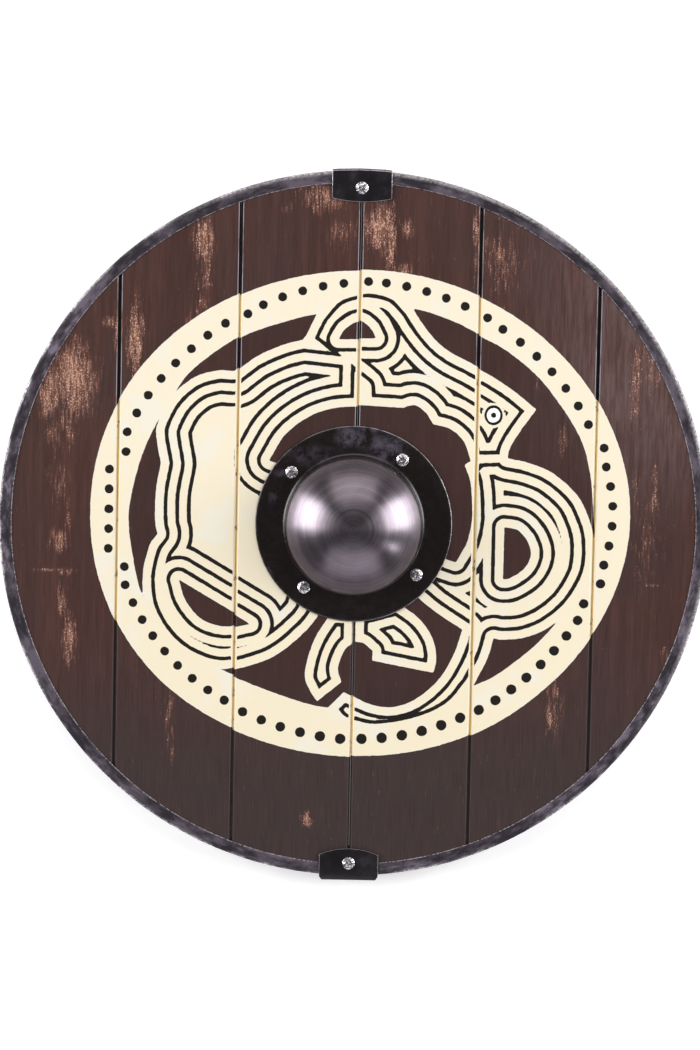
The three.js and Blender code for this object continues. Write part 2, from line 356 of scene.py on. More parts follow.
@dataclass(frozen=True)
class Oval:
    """A hand-drawn oval, a little fuller or leaner in each quarter.

    Its quarters run anticlockwise from the upper right. A power of 2 is a true ellipse.
    """

    centre: Point
    half_width: float
    half_height: float
    powers: tuple[float, float, float, float]

    def outline(self, steps: int = 360) -> np.ndarray:
        """Gives points round the oval, anticlockwise from the right."""
        angle = np.linspace(0, 2 * math.pi, steps, endpoint=False)
        across = np.cos(angle)
        along = np.sin(angle)
        turn = angle / (math.pi / 2) - 0.5
        power = np.interp(turn % 4, np.arange(5), [*self.powers, self.powers[0]])
        reach = (np.abs(across) ** power + np.abs(along) ** power) ** (-1 / power)
        x = self.centre[0] + self.half_width * reach * across
        y = self.centre[1] + self.half_height * reach * along
        return np.column_stack([x, y])


def segment_distance(start: np.ndarray, end: np.ndarray, places: np.ndarray) -> np.ndarray:
    """Gives each place's distance from a straight segment."""
    along = end - start
    share = np.clip((places - start) @ along / max(along @ along, 1e-9), 0, 1)
    return np.hypot(*(places - start - share[:, None] * along).T)


def polygon_inside(outline: np.ndarray, places: np.ndarray) -> np.ndarray:
    """Gives each place's distance inside a closed outline, negative outside."""
    near = np.full(len(places), np.inf)
    within = np.zeros(len(places), bool)
    x, y = places.T
    for start, end in zip(outline, np.roll(outline, -1, axis=0)):
        near = np.minimum(near, segment_distance(start, end, places))
        if start[1] != end[1]:
            crossing = (start[1] > y) != (end[1] > y)
            cut = start[0] + (y - start[1]) * (end[0] - start[0]) / (end[1] - start[1])
            within ^= crossing & (x < cut)
    return np.where(within, near, -near)


RING_OUTER = Oval((4, 10), 232, 210, (1.965, 2.035, 2.09, 1.94))
DOT_OVAL = Oval((5, 12.5), 216, 197.5, (1.86, 1.86, 2.01, 1.87))
RING_INNER = Area((
    (
        (5, 192), (-36, 182.5), (-61, 176), (-101, 161), (-141, 132), (-161, 104), (-179, 70),
        (-189, 40), (-195, 5), (-191, -30), (-182, -65), (-160, -102), (-113, -127.5),
        (-61, -147.5), (-21, -157.5), (40, -160), (106, -135), (129, -122.5), (159, -97.5),
        (184, -67.5), (200, -45), (206, -15), (204, 20), (200, 53), (189, 85), (159, 127),
        (129, 152.5), (103, 166.5), (79, 178), (49, 187), (5, 192),
    ),
))

BODY = Area((
    ((-48, 160), (-67, 154.5), (-87, 145), (-100, 135.5), (-106, 130.5)),
    ((-106, 130.5), (-122, 130.5), (-142, 123.5), (-160, 107), (-171, 85), (-172, 72), (-168, 50)),
    ((-168, 50), (-172, 25), (-172, 0), (-170, -11)),
    (
        (-170, -11), (-177, -22), (-182, -45), (-181, -66), (-175, -84), (-161, -104),
        (-141, -119), (-113, -127), (-81, -119.5), (-61, -109), (-41, -91), (-31, -78.5),
    ),
    ((-31, -78.5), (-20, -20), (-60, 45), (-75, 56)),
    ((-75, 56), (-62, 78), (-42, 94), (-20, 102), (4, 104)),
    ((4, 104), (4, 155)),
    ((4, 155), (-48, 160)),
))
NECK_AND_HEAD = Area((
    ((-48, 160), (-44.5, 165), (-41.5, 172), (-36, 183)),
    ((-36, 183), (-20, 200), (5, 207), (30, 202), (46, 187)),
    ((46, 187), (53, 176), (65, 161.5), (79, 150.5), (99, 140.5), (129, 123), (153, 104.5)),
    ((153, 104.5), (139, 84.5), (131, 70), (129, 58)),
    ((129, 58), (98, 57)),
    ((98, 57), (92, 74), (80, 85), (65, 89)),
    ((65, 89), (58, 99), (48.5, 105), (39, 102.5)),
    ((39, 102.5), (5, 104)),
    ((5, 104), (4, 119)),
    ((4, 119), (-48, 160)),
))
LOOP_AND_TAIL = Area((
    ((98, 64), (129, 66)),
    ((129, 66), (129, 62)),
    (
        (129, 62), (149, 58), (169, 49.5), (189, 32.5), (199, 15), (205, -5), (205, -30),
        (199, -48), (187, -67), (169, -83), (149, -92.5), (129, -95), (121, -94),
    ),
    ((121, -94), (116, -112), (104, -137)),
    ((104, -137), (86, -158), (58, -172), (20, -179), (-8, -172), (-21, -158)),
    ((-21, -158), (-7, -143.5)),
    ((-7, -143.5), (14, -154), (34, -156.8), (54, -150), (74, -132.5), (87, -110), (94, -88)),
    ((94, -88), (69, -72), (54, -60)),
    ((54, -60), (40, -40)),
    ((40, -40), (60, -20)),
    ((60, -20), (78, -27)),
    ((78, -27), (87, -30)),
    ((87, -30), (96, -13), (100, 5), (100, 20), (98, 40), (92.5, 54.5)),
    ((92.5, 54.5), (98, 58)),
    ((98, 58), (98, 64)),
))
LEFT_CLAW = Area((
    ((-0.5, -76), (-20, -76)),
    ((-20, -76), (-34, -100), (-41, -128), (-36, -143), (-30, -152)),
    ((-30, -152), (-9.5, -135)),
    ((-9.5, -135), (-12.5, -122), (-7, -107), (-0.5, -101)),
    ((-0.5, -101), (-0.5, -76)),
))
RIGHT_CLAW = Area((
    ((38, -66), (56, -79), (68, -95), (72, -112), (70, -126)),
    ((70, -126), (44, -121.5), (17, -116.5)),
    ((17, -116.5), (17, -108)),
    ((17, -108), (9, -101.5), (2, -100.5)),
    ((2, -100.5), (2, -76)),
    ((2, -76), (38, -66)),
))
HALF_MOON = Area((
    ((14.5, 161.5), (9, 171), (-1, 176.5), (-12, 170), (-17.5, 161)),
    ((-17.5, 161), (14.5, 161.5)),
))
LOOP_HOLE = Area((
    ((128, 2.5), (139, 0.5), (148, -9), (151.5, -21), (146, -33), (134, -41.5), (128, -42.5)),
    ((128, -42.5), (128, 2.5)),
))
LENS = Area((
    ((-151, -50), (-89, -86)),
    ((-89, -86), (-111, -90), (-131, -84), (-145, -68), (-151, -50)),
))

CREAM_AREAS = (BODY, NECK_AND_HEAD, LOOP_AND_TAIL, LEFT_CLAW, RIGHT_CLAW)
BARE_AREAS = (HALF_MOON, LOOP_HOLE, LENS)

@dataclass(frozen=True)
class Rub:
    """A rubbed or dull patch, in millimetres: its place, half sizes and strength."""

    x: float
    y: float
    half_width: float
    half_height: float
    strength: float = 1.0


RUBS = tuple(
    Rub(*row)
    for row in (
        (-243, 122, 24, 36, 1.0), (-264, 112, 14, 24, 0.9), (-255, 74, 16, 26, 0.6),
        (-192, 158, 8, 38, 1.1), (-206, 166, 5, 20, 0.9), (-214, 172, 7, 8, 0.75),
        (-135, 244, 12, 20, 0.95), (-134, 200, 9, 34, 0.65), (-146, 170, 5, 8, 0.6),
        (-32, 281, 22, 14, 1.0), (-18, 252, 14, 14, 0.7), (-62, 271, 6, 6, 0.6),
        (14, 256, 13, 22, 1.1), (25, 246, 5, 30, 1.1), (10, 282, 12, 10, 0.7),
        (40, 256, 7, 9, 0.8), (38, 221, 7, 6, 0.8), (99, 250, 4, 44, 0.75),
        (117, 269, 3, 5, 0.9), (120, 228, 20, 36, 0.6), (238, 124, 6, 38, 0.85),
        (251, 146, 12, 34, 0.6), (177, 78, 5, 18, 1.0), (155, 120, 4, 12, 0.55),
        (256, 40, 3, 28, 0.75), (240, 34, 3, 26, 0.55), (250, -10, 14, 50, 0.4),
        (257, -46, 9, 1.6, 0.95), (-256, 40, 10, 26, 0.6), (-247, 4, 4, 16, 0.85),
        (-255, -17, 9, 12, 0.85), (-260, -43, 24, 1.5, 0.85), (-249, -44, 8, 5, 0.85),
        (-252, -68, 5, 16, 0.95), (-245, -102, 7, 24, 1.0), (-158, -172, 4, 24, 0.8),
        (-154, -198, 2, 14, 0.7), (-37, -257, 7, 8, 0.95), (174, -154, 8, 26, 0.75),
        (269, -106, 7, 10, 0.55),
    )
)


@dataclass
class Painting:
    """The painted design and the wear, read off at places on the planks' face.

    The figure's own lines run at even distances inside its edge. A joint breaks every ink
    line, and each plank's paint sits a little higher or lower than its neighbour's.
    """

    joints: tuple[float, ...]
    steps: tuple[float, ...] = (0.8, -1.0, 0.5, -0.4, 0.7, -0.6)
    joint_gap: float = 2.6
    dot_radius: float = 3.6
    dot_swell: float = 0.8
    dot_clearance: float = 7.0
    dot_pitch: float = 17.6
    upper_arcs: float = 90.0
    eye: Point = (116.5, 98.7)
    eye_size: Point = (6.8, 7.4)
    eye_clearance: float = 3.0
    pupil: float = 2.0
    line_insets: tuple[float, ...] = (9.0, 19.0, 29.0)
    line_half: float = 1.4
    reach: float = 36.0

    def dots(self) -> np.ndarray:
        """Spaces dots evenly along the ring on each plank.

        Returns:
            The middle and the radius of each, one a row. They swell towards the lower right.
        """
        path = DOT_OVAL.outline(1440)
        plank = np.searchsorted(self.joints, path[:, 0])
        breaks = np.flatnonzero(np.diff(plank)) + 1
        path = np.roll(path, -breaks[0], axis=0)
        plank = np.roll(plank, -breaks[0])
        runs = np.split(path, np.flatnonzero(np.diff(plank)) + 1)
        centres = []
        for run in runs:
            stations = np.r_[0, np.cumsum(np.hypot(*np.diff(run, axis=0).T))]
            count = round(stations[-1] / self.dot_pitch)
            lead = 0.75 if run[:, 1].mean() > self.upper_arcs else 0.5
            wanted = (np.arange(count) + lead) * stations[-1] / count
            centres.extend(
                (np.interp(s, stations, run[:, 0]), np.interp(s, stations, run[:, 1]))
                for s in wanted
            )
        dots = self.clear_of_joints(np.array(centres))
        low = np.clip(-dots[:, 1] / 190, 0, 1) * np.clip((dots[:, 0] + 150) / 150, 0, 1)
        return np.column_stack([dots, self.dot_radius + self.dot_swell * low])

    def clear_of_joints(self, dots: np.ndarray) -> np.ndarray:
        """Moves dots sideways where they would touch a joint."""
        for joint in self.joints:
            away = dots[:, 0] - joint
            close = np.abs(away) < self.dot_clearance
            dots[close, 0] = joint + np.where(away[close] < 0, -1, 1) * self.dot_clearance
        return dots

    def fields(self, places: np.ndarray, plank: int) -> dict[Paint, np.ndarray]:
        """Reads every paint and the wear.

        Args:
            places: Places in millimetres from the middle joint and the shield's centre.
            plank: Which plank they are on, counted from the left.

        Returns:
            For each paint, how far each place lies inside its edge in millimetres. For the
            wear, a strength of 0 to about 1.
        """
        moved = places + np.array([0.0, self.steps[plank]])
        ring = polygon_inside(RING_OUTER.outline(), moved)
        inner = RING_INNER.inside(moved)
        figure = np.full(len(moved), -self.reach)
        for area in CREAM_AREAS:
            figure = np.maximum(figure, self.near(area, moved))
        for area in BARE_AREAS:
            figure = np.minimum(figure, -self.near(area, moved))
        cream = np.maximum(np.minimum(ring, -inner), figure)
        ink = np.full(len(moved), -self.reach)
        for inset in self.line_insets:
            ink = np.maximum(ink, self.line_half - np.abs(figure - inset))
        for dot in self.dots():
            ink = np.maximum(ink, dot[2] - np.hypot(*(moved - dot[:2]).T))
        for joint in self.joints:
            ink = np.minimum(ink, np.abs(places[:, 0] - joint) - self.joint_gap)
        white, outline = self.eye_fields(moved)
        ink = np.where(white > -self.eye_clearance, outline, np.maximum(ink, outline))
        return {
            Paint.CREAM: cream,
            Paint.INK: ink,
            Paint.WHITE: white,
            Paint.INNER: inner,
            Paint.WEAR: self.wear(places),
        }

    def eye_fields(self, places: np.ndarray) -> tuple[np.ndarray, np.ndarray]:
        """Gives the eye's white and the ink of its outline and pupil."""
        away = (places - self.eye) / self.eye_size
        white = (1 - np.hypot(*away.T)) * min(self.eye_size)
        outline = 0.8 - np.abs(white)
        return white, np.maximum(outline, self.pupil - np.hypot(*(places - self.eye).T))

    def near(self, area: Area, places: np.ndarray) -> np.ndarray:
        """Measures only the places near an area, and calls the rest far outside."""
        outline = area.outline()
        low, high = outline.min(axis=0) - self.reach, outline.max(axis=0) + self.reach
        close = np.all((places > low) & (places < high), axis=1)
        result = np.full(len(places), -self.reach)
        result[close] = polygon_inside(outline, places[close])
        return result

    def wear(self, places: np.ndarray) -> np.ndarray:
        """Adds up the rubbed patches."""
        total = np.zeros(len(places))
        for rub in RUBS:
            across = (places[:, 0] - rub.x) / rub.half_width
            along = (places[:, 1] - rub.y) / rub.half_height
            total = np.maximum(total, rub.strength * np.exp(-np.hypot(across, along) ** 3))
        return total


# ---- Finishes -----------------------------------------------------------------------------


@dataclass(frozen=True)
class StainedBoards:
    """Dark stained wood with flat cream, black and white paint, rubbed along the grain."""

    stain: Colour = srgb(60, 37, 33)
    stain_light: Colour = srgb(80, 51, 44)
    stain_dark: Colour = srgb(45, 28, 26)
    # A cooler stain, also laid on as painted shade towards the bottom.
    cool_stain_and_shade: Colour = srgb(53, 43, 43)
    # Painted sheen: the stain lightened and greyed as where light glances off it.
    painted_sheen: Colour = srgb(98, 80, 79)
    rubbed: Colour = srgb(112, 72, 60)
    bare: Colour = srgb(178, 136, 112)
    bare_pale: Colour = srgb(208, 178, 162)
    cream: Colour = srgb(222, 213, 191)
    cream_warm: Colour = srgb(221, 210, 183)
    cream_cool: Colour = srgb(216, 215, 207)
    ink: Colour = srgb(17, 12, 9)
    white: Colour = srgb(232, 232, 234)
    # The joints' dark colours: painted shade in the grooves, with stain gathered in them.
    groove: Colour = srgb(14, 10, 10)
    lower_groove_shade: Colour = srgb(50, 40, 39)
    # The cream paint in a groove's painted shade.
    shaded_groove_cream: Colour = srgb(232, 202, 138)
    # The chamfers' edge colour: a painted highlight, as where they catch the light.
    arris: Colour = srgb(164, 154, 166)

    def material(self, front: float, chamfer: float, middle: float, pitch: float) -> bpy.types.Material:
        """Makes the boards' material.

        Args:
            front: The height of the planks' face, in metres.
            chamfer: How deep the joints' chamfers reach below the face, in metres.
            middle: The middle joint's x, in metres.
            pitch: The distance between joints, in metres.

        Returns:
            The material.
        """
        s = Shader("painted_boards")
        x, y, z = s.split(s.place)
        grain = Grain(s, x, y, s.attribute("plank"))
        fine = grain.noise(1500, 0.02, 3, 0.6)
        wood = self.worn(s, self.stained(s, grain, fine), grain)
        painted, cream_mask, ink_mask = self.painted(s, wood, grain, y)
        depth = s.math("SUBTRACT", front, z)
        on_front = s.ramp(depth, 3.5 * MM, 3.0 * MM)
        on_arris = s.times(s.ramp(depth, chamfer * 0.04, chamfer * 0.12), on_front)
        in_groove = s.times(s.ramp(depth, chamfer * 1.02, chamfer * 1.1), on_front)
        # The grooves and the deeper half of the chamfers are painted dark: painted shade with stain
        # gathered in it, blackest towards the top.
        upper = s.ramp(y, -0.08, 0.10)
        dark = s.mix(upper, self.lower_groove_shade, self.groove)
        # Along the chamfers' upper half a broken line of painted highlight shows, bare wood where the
        # planks are worn, strongest towards the top.
        chipped = s.ramp(grain.noise(300, 0.12, 3, 0.6), 0.34, 0.52, 0.2, 1.0)
        chipped = s.times(chipped, s.blend(upper, 0.04, 0.9))
        bright = s.mix(s.attribute(Paint.WEAR.value), self.arris, self.bare)
        slope = s.mix(s.ramp(depth, chamfer * 0.5, chamfer * 0.75), s.mix(chipped, wood, bright), dark)
        arris = s.mix(cream_mask, slope, self.cream)
        # Where cream crosses a joint the groove is painted lit and shaded: plain cream on its left side,
        # ochre painted shade from near its middle rightwards.
        turns = s.math("DIVIDE", s.math("SUBTRACT", x, middle - 0.5 * pitch), pitch)
        across = s.times(s.math("SUBTRACT", s.math("FRACT", turns), 0.5), pitch)
        lit_and_shaded_groove_cream = s.mix(s.ramp(across, -0.6 * MM, -0.3 * MM), self.cream, self.shaded_groove_cream)
        dirt = s.ramp(s.noise(s.place, 60, 4, 0.7), 0.58, 0.66, 0, 0.75)
        groove = s.mix(cream_mask, dark, s.mix(dirt, lit_and_shaded_groove_cream, self.stain))
        colour = s.mix(in_groove, s.mix(on_arris, painted, arris), groove)
        covered = s.math("MAXIMUM", cream_mask, ink_mask)
        height = s.times(fine, s.blend(covered, 1.0, 0.5))
        return s.dress(
            Base_Color=colour,
            Roughness=s.blend(covered, s.ramp(fine, 0.3, 0.7, 0.46, 0.6), 0.55),
            Specular_IOR_Level=0.25,
            Normal=s.bump(height, 0.1 * MM, 0.6),
        )

    def stained(self, s: Shader, grain: "Grain", fine: Socket) -> Socket:
        """Gives the stained wood: cooler and darker lower down, partly a cooler stain and partly painted
        shade, with a painted sheen towards the upper right.
        """
        broad = grain.noise(150, 0.04, 3, 0.6)
        cloud = s.noise(s.place, 13, 3)
        wood = s.mix(s.ramp(broad, 0.38, 0.68, 0, 0.55), self.stain, self.stain_light)
        # Cooler and darker towards the bottom: partly a cooler stain, partly painted shade.
        wood = s.mix(s.ramp(grain.y, -0.06, -0.24, 0, 0.9), wood, self.cool_stain_and_shade)
        wood = s.mix(s.ramp(cloud, 0.42, 0.7, 0, 0.35), wood, self.cool_stain_and_shade)
        # Painted sheen towards the upper right, broken along streaks, standing in for light glancing off
        # the stain.
        corner = s.times(s.ramp(grain.x, 0.1, 0.24), s.ramp(grain.y, -0.02, 0.12))
        sheen_streaks = grain.noise(240, 0.09, 4, 0.7)
        sheen_mask = s.times(corner, s.ramp(sheen_streaks, 0.35, 0.65, 0.15, 0.75))
        wood = s.mix(sheen_mask, wood, self.painted_sheen)
        wood = s.mix(s.ramp(fine, 0.5, 0.3, 0, 0.55), wood, self.stain_dark)
        return s.mix(s.ramp(fine, 0.55, 0.75, 0, 0.45), wood, self.stain_light)

    def worn(self, s: Shader, wood: Socket, grain: "Grain") -> Socket:
        """Rubs the stain through: reddish streaks, then flecks of bare wood.

        Args:
            s: The shader to add to.
            wood: The stained colour.
            grain: The planks' grain.

        Returns:
            The worn colour.
        """
        wear = s.attribute(Paint.WEAR.value)
        blotch = s.math("SUBTRACT", grain.noise(52, 0.5, 4, 0.65), 0.5)
        edge = s.times(blotch, s.ramp(wear, 0.02, 0.4, 0, 1.5))
        level = s.math("MAXIMUM", s.plus(wear, edge), 0.0)
        streak = grain.noise(520, 0.12, 4, 0.7)
        fleck = grain.noise(1350, 0.5, 3, 0.65)
        haze = s.plus(streak, s.times(level, 0.3))
        colour = s.mix(s.ramp(haze, 0.6, 0.86, 0, 0.85), wood, self.rubbed)
        chance = s.plus(s.times(fleck, 0.6), s.times(streak, 0.4)
        )
        chance = s.plus(chance, s.times(level, 0.16))
        pale = s.mix(s.ramp(fleck, 0.5, 0.7), self.bare, self.bare_pale)
        return s.mix(s.ramp(chance, 0.65, 0.735, 0, 0.92), colour, pale)

    def painted(
        self, s: Shader, wood: Socket, grain: "Grain", y: Socket
    ) -> tuple[Socket, Socket, Socket]:
        """Lays the paints over the wood.

        Args:
            s: The shader to add to.
            wood: The colour under the paint.
            grain: The planks' grain.
            y: The height on the shield's face.

        Returns:
            The painted colour, the cream's mask and the ink's mask.
        """
        wobble = s.math("SUBTRACT", s.noise(s.place, 240, 2), 0.5)
        cream = s.plus(s.attribute(Paint.CREAM.value), wobble)
        ink = s.plus(s.attribute(Paint.INK.value), wobble)
        ink = s.plus(ink, 0.28)
        white = s.attribute(Paint.WHITE.value)
        inner = s.ramp(s.attribute(Paint.INNER.value), -4, 4, 0, 0.5)
        cream_mask = s.ramp(cream, -0.16, 0.16)
        ink_mask = s.times(s.ramp(ink, -0.16, 0.16), s.ramp(ink, -4, -3))
        brushed = grain.noise(170, 0.05, 4, 0.6)
        coats = s.noise(s.place, 22, 3, 0.6)
        coat = s.mix(s.ramp(y, 0.18, -0.2, 0, 0.7), self.cream, self.cream_warm)
        coat = s.mix(s.ramp(brushed, 0.35, 0.7, 0, 0.25), coat, self.cream_warm)
        coat = s.mix(s.ramp(coats, 0.52, 0.66, 0, 0.5), coat, self.cream_cool)
        coat = s.mix(s.ramp(cream, 1.4, 0.4, 0, 0.4), coat, self.cream_cool)
        colour = s.mix(inner, wood, self.stain_dark)
        colour = s.mix(cream_mask, colour, coat)
        colour = s.mix(s.ramp(white, -0.1, 0.1), colour, self.white)
        return s.mix(ink_mask, colour, self.ink), cream_mask, ink_mask


@dataclass(frozen=True)
class Grain:
    """Noise drawn out along the planks, different on every plank."""

    shader: Shader
    x: Socket
    y: Socket
    plank: Socket

    def noise(self, scale: float, stretch: float, detail: float, rough: float) -> Socket:
        """Gives noise at a scale across the grain, with y slowed down by the stretch."""
        place = self.shader.join(self.x, self.shader.times(self.y, stretch), self.plank)
        return self.shader.noise(place, scale, detail, rough)


@dataclass(frozen=True)
class HandleWood:
    """Plain stained wood, lighter where the hand rubs it."""

    dark: Colour = srgb(84, 58, 44)
    light: Colour = srgb(124, 90, 66)

    def material(self) -> bpy.types.Material:
        """Makes the handle's material, with its grain along X."""
        s = Shader("handle_wood")
        x, y, z = s.split(s.place)
        along = s.join(s.times(x, 0.04), y, z)
        fine = s.noise(along, 700, 4, 0.6)
        rings = s.noise(along, 120, 3, 0.6)
        colour = s.mix(s.ramp(rings, 0.3, 0.7), self.dark, self.light)
        colour = s.mix(s.ramp(fine, 0.45, 0.8, 0, 0.5), colour, self.dark)
        palm = s.ramp(s.math("ABSOLUTE", x), 0.06, 0.02, 0, 0.5)
        colour = s.mix(palm, colour, self.light)
        roughness = s.blend(palm, 0.55, 0.35)
        return s.dress(Base_Color=colour, Roughness=roughness, Normal=s.bump(fine, 0.1 * MM, 0.5))


@dataclass(frozen=True)
class HammeredSteel:
    """Dark hammered strip, scuffed grey and worn bright along its lip, with painted highlights on its
    outer bend and lit sides.
    """

    dark: Colour = srgb(39, 33, 41)
    mid: Colour = srgb(94, 85, 96)
    # Faint smears, and the colour of the painted highlight on the rim's lit sides.
    smear_and_highlight: Colour = srgb(128, 121, 134)
    # Worn bright, and the same colour for the painted highlights on the bend.
    worn: Colour = srgb(198, 194, 196)

    def material(self, radius: float, lip: float, top: float) -> bpy.types.Material:
        """Makes the rim's material.

        Args:
            radius: The rim's outer radius in metres.
            lip: The radius of the inner edge of its flanges in metres.
            top: The height of its upper flange in metres.

        Returns:
            The material.
        """
        s = Shader("hammered_steel")
        x, y, z = s.split(s.place)
        out = s.length(s.join(x, y))
        spoke = s.vector("NORMALIZE", s.join(x, y))
        around = s.vector("MULTIPLY", spoke, (0.12, 0.12, 0.0))
        around = s.vector("ADD", around, s.join(0.0, 0.0, s.plus(out, z)))
        cloud = s.noise(around, 70, 4, 0.6)
        mottle = s.noise(around, 230, 3, 0.6)
        patchy = s.plus(s.times(cloud, 0.65), s.times(mottle, 0.35))
        colour = s.mix(s.ramp(patchy, 0.4, 0.62, 0, 0.9), self.dark, self.mid)
        # Lighter smears: faint all round, and strong as a painted highlight on the left and lower right,
        # where the light falls.
        left = s.times(s.ramp(x, -0.2, -0.28), s.ramp(y, -0.14, 0.0))
        left = s.math("MAXIMUM", left, s.ramp(s.math("SUBTRACT", x, y), 0.26, 0.4, 0, 0.6))
        smear_and_highlight_mask = s.times(s.ramp(patchy, 0.5, 0.62), s.blend(left, 0.12, 0.85))
        colour = s.mix(smear_and_highlight_mask, colour, self.smear_and_highlight)
        scuffs = s.noise(s.place, 520, 4, 0.7)
        # Worn bright along the lip. The band on the outer bend and the sheen towards the upper right are
        # painted highlights in the same colour; all three fade below the upper flange, while the stray
        # scuffs do not.
        at_lip = s.ramp(out, lip + 0.9 * MM, lip + 0.3 * MM, 0, 0.7)
        at_bend = s.times(s.ramp(out, radius - 2.6 * MM, radius - 1.0 * MM), s.ramp(cloud, 0.42, 0.6)
        )
        worn = s.times(s.math("MAXIMUM", at_lip, at_bend), s.ramp(scuffs, 0.42, 0.58))
        sheen = s.times(s.ramp(s.plus(x, y), 0.02, 0.3), s.ramp(scuffs, 0.3, 0.6))
        sheen = s.times(sheen, s.ramp(out, radius - 4.5 * MM, radius - 1.5 * MM, 0, 0.6))
        worn = s.math("MAXIMUM", worn, sheen)
        worn = s.times(worn, s.ramp(z, top - 4 * MM, top - 1.5 * MM, 0.25, 1.0))
        stray = s.ramp(scuffs, 0.66, 0.76, 0, 0.5)
        colour = s.mix(s.math("MAXIMUM", worn, stray), colour, self.worn)
        return s.dress(
            Base_Color=colour,
            Metallic=0.3,
            Roughness=s.ramp(cloud, 0.35, 0.7, 0.52, 0.38),
            Specular_IOR_Level=0.4,
            Normal=s.bump(mottle, 0.5 * MM, 0.5),
        )


@dataclass(frozen=True)
class BlackSheet:
    """Black lacquer on sheet steel, chipped bright along the edges."""

    black: Colour = srgb(18, 14, 19)
    dust: Colour = srgb(62, 60, 66)
    edge: Colour = srgb(184, 178, 186)

    def material(self, name: str = "black_sheet") -> bpy.types.Material:
        """Makes the clips' material."""
        s = Shader(name)
        cloud = s.noise(s.place, 60, 4, 0.6)
        scuffs = s.noise(s.place, 420, 4, 0.7)
        colour = s.mix(s.ramp(cloud, 0.5, 0.8, 0, 0.3), self.black, self.dust)
        edge = s.ramp(s.attribute("edge"), 0.35, 0.8)
        chipped = s.times(edge, s.ramp(scuffs, 0.3, 0.5, 0.15, 0.95))
        colour = s.mix(chipped, colour, self.edge)
        return s.dress(
            Base_Color=colour,
            Metallic=s.times(chipped, 0.7),
            Roughness=s.ramp(cloud, 0.3, 0.8, 0.28, 0.45),
            Normal=s.bump(s.noise(s.place, 110, 3), 0.3 * MM, 0.35),
        )


@dataclass(frozen=True)
class BlackFlange:
    """Gloss black lacquer on the boss's flange, with grey smudges and a bright edge, rubbed to bare
    steel and partly a painted highlight.
    """

    black: Colour = srgb(22, 16, 16)
    smudge: Colour = srgb(80, 72, 88)
    # The edge's colour: rubbed steel, and a painted highlight.
    edge: Colour = srgb(190, 186, 190)

    def material(self, centre: Vector, radius: float) -> bpy.types.Material:
        """Makes the flange's material.

        Args:
            centre: The boss's axis, in metres.
            radius: The flange's radius, in metres.

        Returns:
            The material.
        """
        s = Shader("black_flange")
        out = s.length(s.vector("MULTIPLY", s.vector("SUBTRACT", s.place, tuple(centre)), (1, 1, 0)))
        cloud = s.noise(s.place, 130, 5, 0.75)
        smudged = s.times(s.attribute("smudge"), s.ramp(cloud, 0.36, 0.66))
        colour = s.mix(s.times(smudged, 0.65), self.black, self.smudge)
        specks = s.ramp(s.noise(s.place, 420, 3, 0.6), 0.72, 0.78, 0, 0.6)
        colour = s.mix(s.times(specks, s.ramp(cloud, 0.5, 0.6)), colour, self.smudge)
        # The bright edge: rubbed to bare steel, and a painted highlight, stronger on the right, the lit
        # side.
        lit_side = s.ramp(s.split(s.place)[0], -0.06, 0.06, 0.25, 0.9)
        rubbed = s.times(s.ramp(out, radius - 0.6 * MM, radius - 0.3 * MM), lit_side)
        rubbed = s.times(rubbed, s.ramp(cloud, 0.35, 0.6, 0.1, 0.9))
        colour = s.mix(rubbed, colour, self.edge)
        return s.dress(
            Base_Color=colour,
            Metallic=s.times(rubbed, 0.6),
            Roughness=s.blend(smudged, s.ramp(cloud, 0.3, 0.7, 0.2, 0.34), 0.55),
            Normal=s.bump(s.noise(s.place, 90, 2), 0.2 * MM, 0.25),
        )


@dataclass(frozen=True)
class SpunSteel:
    """Dark polished steel with the fine rings of the spinning lathe."""

    dark: Colour = srgb(108, 100, 107)
    light: Colour = srgb(130, 122, 130)

    def material(self, centre: Vector) -> bpy.types.Material:
        """Makes the dome's material, polished round the boss's axis."""
        s = Shader("spun_steel")
        away = s.vector("MULTIPLY", s.vector("SUBTRACT", s.place, tuple(centre)), (1, 1, 0))
        out = s.length(away)
        x, y, z = s.split(s.place)
        drift = 0.012
        turned = s.join(out, s.times(x, drift), s.times(y, drift))
        rings = s.noise(turned, 2400, 3, 0.7)
        bands = s.noise(turned, 620, 3, 0.6)
        cloud = s.noise(s.place, 45, 3, 0.6)
        tone = s.plus(s.times(bands, 0.6), s.times(cloud, 0.4))
        colour = s.mix(s.ramp(tone, 0.35, 0.65), self.dark, self.light)
        colour = s.mix(s.ramp(rings, 0.45, 0.75, 0, 0.22), colour, self.dark)
        return s.dress(
            Base_Color=colour,
            Metallic=1.0,
            Roughness=s.ramp(tone, 0.3, 0.7, 0.28, 0.33),
            Anisotropic=0.5,
            Tangent=s.vector("NORMALIZE", away),
            Normal=s.bump(rings, 0.015 * MM, 0.4),
        )


@dataclass(frozen=True)
class BrightRivet:
    """Bright rivet metal, dinted by the setting tool, with rust in the mandrel's hole."""

    bright: Colour = srgb(238, 238, 242)
    dull: Colour = srgb(112, 110, 116)
    rust: Colour = srgb(112, 88, 78)

    def material(self) -> bpy.types.Material:
        """Makes the rivets' material."""
        s = Shader("bright_rivet")
        patches = s.noise(s.place, 640, 3, 0.6)
        colour = s.mix(s.ramp(patches, 0.42, 0.56), self.bright, self.dull)
        hole = s.ramp(s.attribute("hole"), 0.3, 0.9)
        colour = s.mix(s.times(hole, s.ramp(patches, 0.3, 0.6, 0.2, 0.9)), colour, self.rust)
        return s.dress(
            Base_Color=colour,
            Metallic=1.0,
            Roughness=s.blend(hole, s.ramp(patches, 0.3, 0.7, 0.2, 0.36), 0.6),
            Normal=s.bump(s.noise(s.place, 800, 2), 0.5 * MM, 0.9),
        )


# ---- Planks -------------------------------------------------------------------------------


